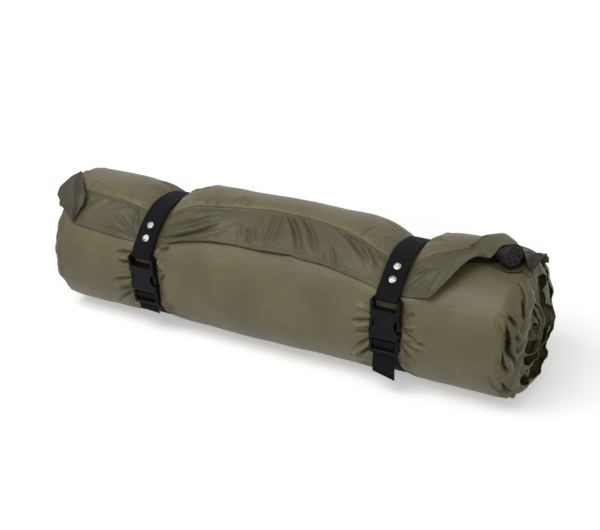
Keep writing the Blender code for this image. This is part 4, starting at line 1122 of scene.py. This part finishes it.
def make_side_hem(side, sign):
    """The welded side hem of every turn, folded in over the roll's end in crumpled facets."""
    right = sign > 0
    start = float(table(WELD, sign * HALF_WIDTH))
    outer = even_steps(start, start + TURN + 12 * DEG, 1.2 * MM / ROLL_RADIUS)
    inner = np.arange(outer[-1] + INNER_HEM_STEP, start + FULL_SPAN, INNER_HEM_STEP)
    phi = np.concatenate([outer, inner])[:, None]
    share = np.linspace(0, 1, 22)[None, :]

    # Where the hem starts: flush with the outermost turn, and in the middle of the turns below it
    edge = np.full_like(phi, sign * HALF_WIDTH)
    rim = np.full_like(phi, sign * HEM_RIM)
    seen = pressed(spiral(phi) + swelling(phi, rim), phi, rim, strap_clear(phi, rim))
    seen = seen + roll_folds(phi - table(WELD, rim), rim) - HEM_SINK
    depth = (phi - start) / TURN
    below = smooth((depth - 1.0) * 12)
    deep_out, deep_in = inner_turn(phi, edge), inner_turn(phi + TURN, edge) + TURN_GAP
    middle = seen + ((deep_out + deep_in) / 2 - seen) * below
    level = flap_level(np.full_like(phi, start), edge) - 1.5 * MM
    middle = level + (middle - level) * foam_shoulder(phi - start, HEM_NOSE)

    # How far it reaches out and leans in, with ragged edges
    places, reaches, leans = zip(*HEM_SHAPES[side])
    around = np.mod(phi / DEG, 360)
    arc = phi * middle / MM
    seed = HEM_SEED[side]
    ragged = 2.2 * facets(arc / 13, 0, seed + 3) + 0.8 * facets(arc / 4, 0, seed + 4)
    reach = np.interp(around, places, reaches, period=360) - 1.7 * np.clip(depth - 0.7, 0, 6)
    reach = reach + np.minimum(ragged, 0.8)
    lean = np.interp(around, places, leans, period=360)
    lean = lean + 8.0 * facets(arc / 21, np.floor(depth), seed + 6) * below

    # Its crumples: facets of three sizes, and the right end's deep creases
    big = facets(arc / 16 + share * 0.9, share * 1.5 + arc / 60, seed)
    small = facets(arc / 7 - share * 1.1, share * 3.1, seed + 1)
    tiny = facets(arc / 3.1, share * 5.0, seed + 2)
    strength = 1 + 1.1 * below if right else 0.5
    crumple = (4.4 * big + 2.0 * small + 0.6 * tiny) * smooth((share - 0.12) / 0.3) * strength
    limit = np.where(depth < 1, 5.2, 8.5 if right else 4.4)
    front = np.mod(phi + math.pi, TURN) - math.pi
    cuts = folds((262 + 24 * share) * MM, front, HEM_CUTS if right else []) / MM
    crumple = limit * np.tanh(crumple / limit) + cuts * (depth < 1)

    start_x = 258 + 8 * below
    out = 1 - (1 - share) ** 1.7
    x = sign * (start_x + (HALF_WIDTH / MM + reach - start_x) * out + 0.6 * crumple * share) * MM
    radius = middle + (crumple * (1 - 0.5 * share) - lean * share ** HEM_ROUNDING[side]) * MM
    points = on_roll(x, radius, phi)
    points[..., 2] = np.maximum(points[..., 2], 0.3 * MM + 0.5 * MM * share)
    along = sign * (HALF_WIDTH + share * 20 * MM)
    made = make_sheet(f"mat_side_hem_{side}", points, along, phi, nylon("nylon_side"))
    # Painted shade darkens the deep creases of the right end's outer hem
    paint_shade(made, 0.92 * smooth((-cuts - 0.6) / 3.2) * (depth < 1))
    solidify(made, 0.9 * MM, 0.0)
    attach(made, "mat")


# Straps

# The webbing's section: places across it and half its thickness there (mm), thicker beside its rounded edges
WEB_SECTION = [
    (-12.5, 0.18), (-12.1, 0.44), (-11.2, 0.56), (-9.5, 0.52), (-6, 0.52), (-2, 0.52),
    (2, 0.52), (6, 0.52), (9.5, 0.52), (11.2, 0.56), (12.1, 0.44), (12.5, 0.18),
]


def rounded_path(points, step):
    """A path with its corners rounded, at even steps."""
    path = np.array(points, float)
    for _ in range(2):
        ahead, behind = path[1:], path[:-1]
        cut = np.stack([behind * 0.75 + ahead * 0.25, behind * 0.25 + ahead * 0.75], axis=1)
        path = np.concatenate([path[:1], cut.reshape(-1, 2), path[-1:]])
    lengths = np.concatenate([[0], np.cumsum(np.linalg.norm(np.diff(path, axis=0), axis=1))])
    at = np.linspace(0, lengths[-1], max(4, int(lengths[-1] / step)))
    return np.stack([np.interp(at, lengths, path[:, k]) for k in range(2)], axis=-1), at


def doubled_angle(side, distance):
    """The angle of a place on the doubled webbing, a distance up from the female half's bar."""
    y = FEMALE_TOP - BAR / 2 + distance
    return BUCKLE_ANGLE[side] + math.atan2(y, BUCKLE_SEAT + RETURN_LIFT) * (1 + 0.02 * y / FEMALE_TOP)


def stations(low, high):
    return [STATION * i for i in range(math.ceil(low / STATION), math.floor(high / STATION) + 1)]


def tab_path(side):
    """From the top of the roll down to the female half's bar, round it, and back up underneath."""
    bends = [doubled_angle(side, FIRST_RIVET + (i - 0.5) * RIVET_SPACING) for i in range(3)]
    low = bends[-1] + 5 * DEG
    path = []
    for angle in [STRAP_SPLIT] + stations(low, STRAP_SPLIT - 1 * DEG)[::-1]:
        share = float(smooth((STRAP_SPLIT - angle) / (STRAP_SPLIT - low)))
        path.append(ring_point(side, angle, WEB / 2 + (OUTER_LIFT - WEB / 2) * share))
    path += [ring_point(side, bend, OUTER_LIFT) for bend in reversed(bends)]
    wrap = BAR / math.sqrt(2) + GAP + WEB / 2
    bar = FEMALE_TOP - BAR / 2
    for a in np.linspace(45, 285, 9) * DEG:
        path.append(buckle_point(side, bar + wrap * math.cos(a), BAR_HEIGHT + wrap * math.sin(a)))
    path += [ring_point(side, bend, RETURN_LIFT) for bend in bends]
    return path


def band_path(side):
    """From the top of the roll round the back and underneath to the male half's bars, and out as a tail."""
    low = BUCKLE_ANGLE[side] + math.atan2(FRAME_BOTTOM, BUCKLE_SEAT)
    path = [ring_point(side, STRAP_SPLIT + GAP / RING_RADIUS, WEB / 2)]
    path += [ring_point(side, a, WEB / 2) for a in stations(STRAP_SPLIT + 4 * DEG, TURN + low - 4 * DEG)]
    path += [buckle_point(side, y * MM, z * MM) for y, z in LADDER]
    last, tail = LADDER[-1][0] * MM, TAIL_LENGTH[side]
    path.append(buckle_point(side, last - tail * 0.5, 3.4 * MM))
    path.append(buckle_point(side, last - tail, 1.5 * MM))
    return path


def webbing_strip(name, side, path, slant=0.0):
    """Webbing along a path: rounded selvedges, cross ribs, and an end cut on a slant."""
    line, at = rounded_path(path, 0.8 * MM)
    along = np.gradient(line, axis=0)
    along /= np.linalg.norm(along, axis=1)[:, None]
    normal = np.stack([-along[:, 1], along[:, 0]], axis=-1)
    across, half = np.array(WEB_SECTION).T[:, None, :] * MM
    ribs = 0.05 * MM * np.cos(at * TURN / RIB_PITCH)[:, None]
    slanted = 8 * MM
    cut = smooth((at - (at[-1] - slanted)) / slanted)[:, None] * slant
    sides = []
    for sign in (1, -1):
        lift = sign * (half + ribs)
        p = line[:, :1] + normal[:, :1] * lift + along[:, :1] * cut * across
        q = line[:, 1:] + normal[:, 1:] * lift + along[:, 1:] * cut * across
        x = STRAP_X[side] + np.broadcast_to(across, p.shape)
        sides.append(np.stack([x, -p, AXIS_HEIGHT + q], axis=-1))
    rows, columns = sides[0].shape[:2]
    top = np.arange(rows * columns).reshape(rows, columns)
    faces = grid_faces(rows, columns) + [f[::-1] for f in grid_faces(rows, columns, rows * columns)]
    rim = np.concatenate([top[:, 0], top[-1, 1:], top[::-1, -1][1:], top[0, ::-1][1:-1]])
    quads = np.stack([rim, np.roll(rim, -1), np.roll(rim, -1) + top.size, rim + top.size], axis=-1)
    faces += [tuple(q) for q in quads.tolist()]
    flat = np.stack(np.broadcast_arrays(across, at[:, None]), axis=-1).reshape(-1, 2)
    points = np.concatenate([s.reshape(-1, 3) for s in sides])
    made = make_object(name, points, faces, np.concatenate([flat, flat]), closed=True)
    look = tuple(bpy.context.scene.mat_colours.webbing)
    wear_material(made, bpy.data.materials.get("ribbed_webbing") or webbing_material(look))
    return made, float(at[-1])


def make_straps():
    """Both straps' webbing. Each band is attached to the mat; each tab is left unattached."""
    for side in STRAP_X:
        slant = 0.28 if side == "right" else 0.1
        band, length = webbing_strip(f"{side}_webbing_band", side, band_path(side), slant)
        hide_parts(f"{side}_strap_band")
        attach(band, "mat")
        tab, length = webbing_strip(f"{side}_webbing_tab", side, tab_path(side))
        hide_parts(f"{side}_strap_tab")
        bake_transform(tab)


def make_hardware():
    """Materials for the buckles and rivets, whose shapes are the frame's own."""
    look = bpy.context.scene.mat_colours
    acetal = moulded_plastic("satin_acetal", tuple(look.buckle), 0.25, 0.5, 0.09)
    nickel = plated_metal(tuple(look.nickel))
    for name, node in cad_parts.items():
        if "buckle" in name:
            wear_material(node, acetal)
        elif "rivet" in name:
            wear_material(node, nickel)


def make_valve():
    """Materials for the valve, whose shapes are the frame's own."""
    look = bpy.context.scene.mat_colours
    body = moulded_plastic("valve_moulding", tuple(look.valve), 0.42, 0.4)
    for node in ("valve_cap", "valve_base"):
        wear_material(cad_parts[node], body)
    wear_material(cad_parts["valve_seal"], rubbery("orange_silicone", tuple(look.seal), 0.45))
    wear_material(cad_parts["valve_o_ring"], rubbery("black_rubber", (0.02, 0.02, 0.02), 0.7))


# Stage

CAMERA_PLACE = (0.5037, -0.9985, 0.6338)
CAMERA_YAW = 26.16 * DEG
CAMERA_PITCH = 25.97 * DEG
LAMP_AIM = (0, 0, 0.08)
FLOOR_HALF = 6.0


def soft_lamp(name, place, size, power):
    data = bpy.data.lights.new(name, "AREA")
    data.shape = "RECTANGLE"
    data.size, data.size_y = size
    data.energy = power
    lamp = bpy.data.objects.new(name, data)
    lamp.location = place
    lamp.rotation_euler = (Vector(LAMP_AIM) - Vector(place)).to_track_quat("-Z", "Y").to_euler()
    bpy.context.scene.collection.objects.link(lamp)


def background_share(n):
    """1 for rays that show the background: seen directly, mirrored, or through glass."""
    path = n.add("ShaderNodeLightPath")
    either = n.math("MAXIMUM", path.outputs["Is Camera Ray"], path.outputs["Is Glossy Ray"])
    return n.math("MAXIMUM", either, path.outputs["Is Transmission Ray"])


def make_floor():
    """A pale floor that shows white from any side and keeps the mat's shadow."""
    mesh = bpy.data.meshes.new("studio_floor")
    corners = [(x * FLOOR_HALF, y * FLOOR_HALF, 0) for x, y in ((-1, -1), (1, -1), (1, 1), (-1, 1))]
    mesh.from_pydata(corners, [], [(0, 1, 2, 3)])
    floor = bpy.data.objects.new("studio_floor", mesh)
    bpy.context.scene.collection.objects.link(floor)
    made, n, shader = new_material("pale_floor")
    place = n.place()
    n.link(n.mix(n.noise(place, 40.0), (0.80,) * 3, (0.83,) * 3), shader.inputs["Base Color"])
    shader.inputs["Roughness"].default_value = 0.9
    shader.inputs["Emission Strength"].default_value = 1.0
    away = n.add("ShaderNodeVectorMath", operation="LENGTH")
    n.link(place, away.inputs[0])
    lift = n.remap(away.outputs["Value"], 0.35, 1.6, bpy.context.scene.mat_stage.floor_lift, 0.8)
    glow = n.math("MULTIPLY", background_share(n), lift)
    n.link(n.grey(glow), shader.inputs["Emission Color"])
    wear_material(floor, made)


def make_world():
    """Even light from all round, seen as plain white."""
    world = bpy.data.worlds.new("studio_white")
    world.use_nodes = True
    world.node_tree.nodes.clear()
    n = Nodes(world.node_tree)
    lighting = n.add("ShaderNodeBackground")
    lighting.inputs["Strength"].default_value = bpy.context.scene.mat_stage.world_strength
    seen = n.add("ShaderNodeBackground")
    seen.inputs["Strength"].default_value = 1.0
    blend = n.add("ShaderNodeMixShader")
    n.link(background_share(n), blend.inputs[0])
    n.link(lighting.outputs[0], blend.inputs[1])
    n.link(seen.outputs[0], blend.inputs[2])
    n.link(blend.outputs[0], n.add("ShaderNodeOutputWorld").inputs["Surface"])
    for node in (lighting, seen):
        node.inputs["Color"].default_value = (1, 1, 1, 1)
    bpy.context.scene.world = world


def make_camera():
    """The photograph's viewpoint, with no shift and no depth of field."""
    data = bpy.data.cameras.new("photo_camera")
    data.lens = 66.0
    data.sensor_width = 36.0
    camera = bpy.data.objects.new("photo_camera", data)
    camera.location = CAMERA_PLACE
    camera.rotation_euler = (math.pi / 2 - CAMERA_PITCH, 0, CAMERA_YAW)
    bpy.context.scene.collection.objects.link(camera)
    bpy.context.scene.camera = camera


# Settings

def colour(name, description, default):
    return FloatVectorProperty(name=name, description=description, default=default, size=3, subtype="COLOR")


class MatShape(bpy.types.PropertyGroup):
    """Sizes of the cloth that the frame leaves free."""

    cloth_step: FloatProperty(
        name="Cloth Step", description="Spacing of the cloth's mesh",
        default=1.8 * MM, min=1 * MM, unit="LENGTH",
    )
    pucker_strength: FloatProperty(
        name="Pucker Strength", description="Height of the folds round the straps",
        default=1.5, min=0.0, subtype="FACTOR",
    )


class MatColours(bpy.types.PropertyGroup):
    """Base colours, in linear light."""

    nylon: colour("Nylon", "The roll's coated nylon", (0.126, 0.112, 0.056))
    nylon_end: colour("Nylon End", "The loose end's nylon", (0.093, 0.085, 0.046))
    # A darker nylon: painted shade on the loose end's underside and crumpled end, the lip by the valve and
    # the folded corner
    nylon_inside: colour("Nylon Inside", "The nylon's darker inner side", (0.05, 0.045, 0.026))
    webbing: colour("Webbing", "Strap webbing", (0.0048, 0.0048, 0.0056))
    buckle: colour("Buckle", "Buckle plastic", (0.0032, 0.0032, 0.0042))
    nickel: colour("Nickel", "Rivet plating", (0.5, 0.475, 0.47))
    valve: colour("Valve", "Valve plastic", (0.0085, 0.0082, 0.012))
    seal: colour("Seal", "Silicone seal inside the cap", (0.78, 0.25, 0.05))


class MatStage(bpy.types.PropertyGroup):
    """Studio light and floor."""

    key_power: FloatProperty(
        name="Key Power", description="Power of the large lamp above the front",
        default=17.6, min=0.0, unit="POWER",
    )
    fill_power: FloatProperty(
        name="Fill Power", description="Power of the lamp beside the camera",
        default=5.2, min=0.0, unit="POWER",
    )
    world_strength: FloatProperty(
        name="World Strength", description="Light from all round", default=0.36, min=0.0
    )
    floor_lift: FloatProperty(
        name="Floor Lift", description="Extra white of the floor as it is seen", default=0.4, min=0.0
    )


# Operators

class MAT_OT_stage(bpy.types.Operator):
    """Make the floor, the studio light and the camera"""

    bl_idname = "sleeping_mat.stage"
    bl_label = "Stage"

    def execute(self, context):
        look = context.scene.mat_stage
        context.scene.view_settings.view_transform = "Standard"
        make_floor()
        make_world()
        make_camera()
        soft_lamp("key_softbox", (-0.28, -0.88, 1.42), (1.2, 0.8), look.key_power)
        soft_lamp("camera_fill", (1.3, -1.6, 0.9), (1.2, 1.2), look.fill_power)
        return {"FINISHED"}


class MAT_OT_roll(bpy.types.Operator):
    """Make the foam-filled roll"""

    bl_idname = "sleeping_mat.roll"
    bl_label = "Rolled Mat"

    def execute(self, context):
        make_roll()
        return {"FINISHED"}


class MAT_OT_loose_end(bpy.types.Operator):
    """Make the loose welded end, its folded corner and its lower sheet at the valve"""

    bl_idname = "sleeping_mat.loose_end"
    bl_label = "Loose End"

    def execute(self, context):
        make_flap()
        make_valve_lip()
        make_folded_corner()
        return {"FINISHED"}


class MAT_OT_side_hems(bpy.types.Operator):
    """Make the crumpled hems at both ends of the roll"""

    bl_idname = "sleeping_mat.side_hems"
    bl_label = "Side Hems"

    def execute(self, context):
        make_side_hem("left", -1)
        make_side_hem("right", 1)
        return {"FINISHED"}


class MAT_OT_straps(bpy.types.Operator):
    """Make the webbing of both straps"""

    bl_idname = "sleeping_mat.straps"
    bl_label = "Straps"

    def execute(self, context):
        make_straps()
        return {"FINISHED"}


class MAT_OT_hardware(bpy.types.Operator):
    """Finish the buckles and rivets that the frame brings"""

    bl_idname = "sleeping_mat.hardware"
    bl_label = "Buckles and Rivets"

    def execute(self, context):
        make_hardware()
        return {"FINISHED"}


class MAT_OT_valve(bpy.types.Operator):
    """Finish the valve that the frame brings"""

    bl_idname = "sleeping_mat.valve"
    bl_label = "Valve"

    def execute(self, context):
        make_valve()
        return {"FINISHED"}


OPERATORS = (
    MAT_OT_stage, MAT_OT_roll, MAT_OT_loose_end, MAT_OT_side_hems,
    MAT_OT_straps, MAT_OT_hardware, MAT_OT_valve,
)


class MAT_PT_panel(bpy.types.Panel):
    """Lists what this add-on builds, and its settings"""

    bl_idname = "MAT_PT_panel"
    bl_label = "Sleeping Mat"
    bl_space_type = "VIEW_3D"
    bl_region_type = "UI"
    bl_category = "Sleeping Mat"

    def draw(self, context):
        for operator in OPERATORS:
            self.layout.operator(operator.bl_idname)
        for name in SETTINGS:
            box = self.layout.box()
            group = getattr(context.scene, name)
            for key in group.__annotations__:
                box.prop(group, key)


SETTINGS = {"mat_shape": MatShape, "mat_colours": MatColours, "mat_stage": MatStage}
CLASSES = (*SETTINGS.values(), *OPERATORS, MAT_PT_panel)


def register():
    for cls in CLASSES:
        bpy.utils.register_class(cls)
    for name, group in SETTINGS.items():
        setattr(bpy.types.Scene, name, PointerProperty(type=group))


def unregister():
    for name in SETTINGS:
        delattr(bpy.types.Scene, name)
    for cls in reversed(CLASSES):
        bpy.utils.unregister_class(cls)


def main():
    register()
    for operator in OPERATORS:
        group, name = operator.bl_idname.split(".")
        getattr(getattr(bpy.ops, group), name)()


if __name__ == "__main__":
    main()
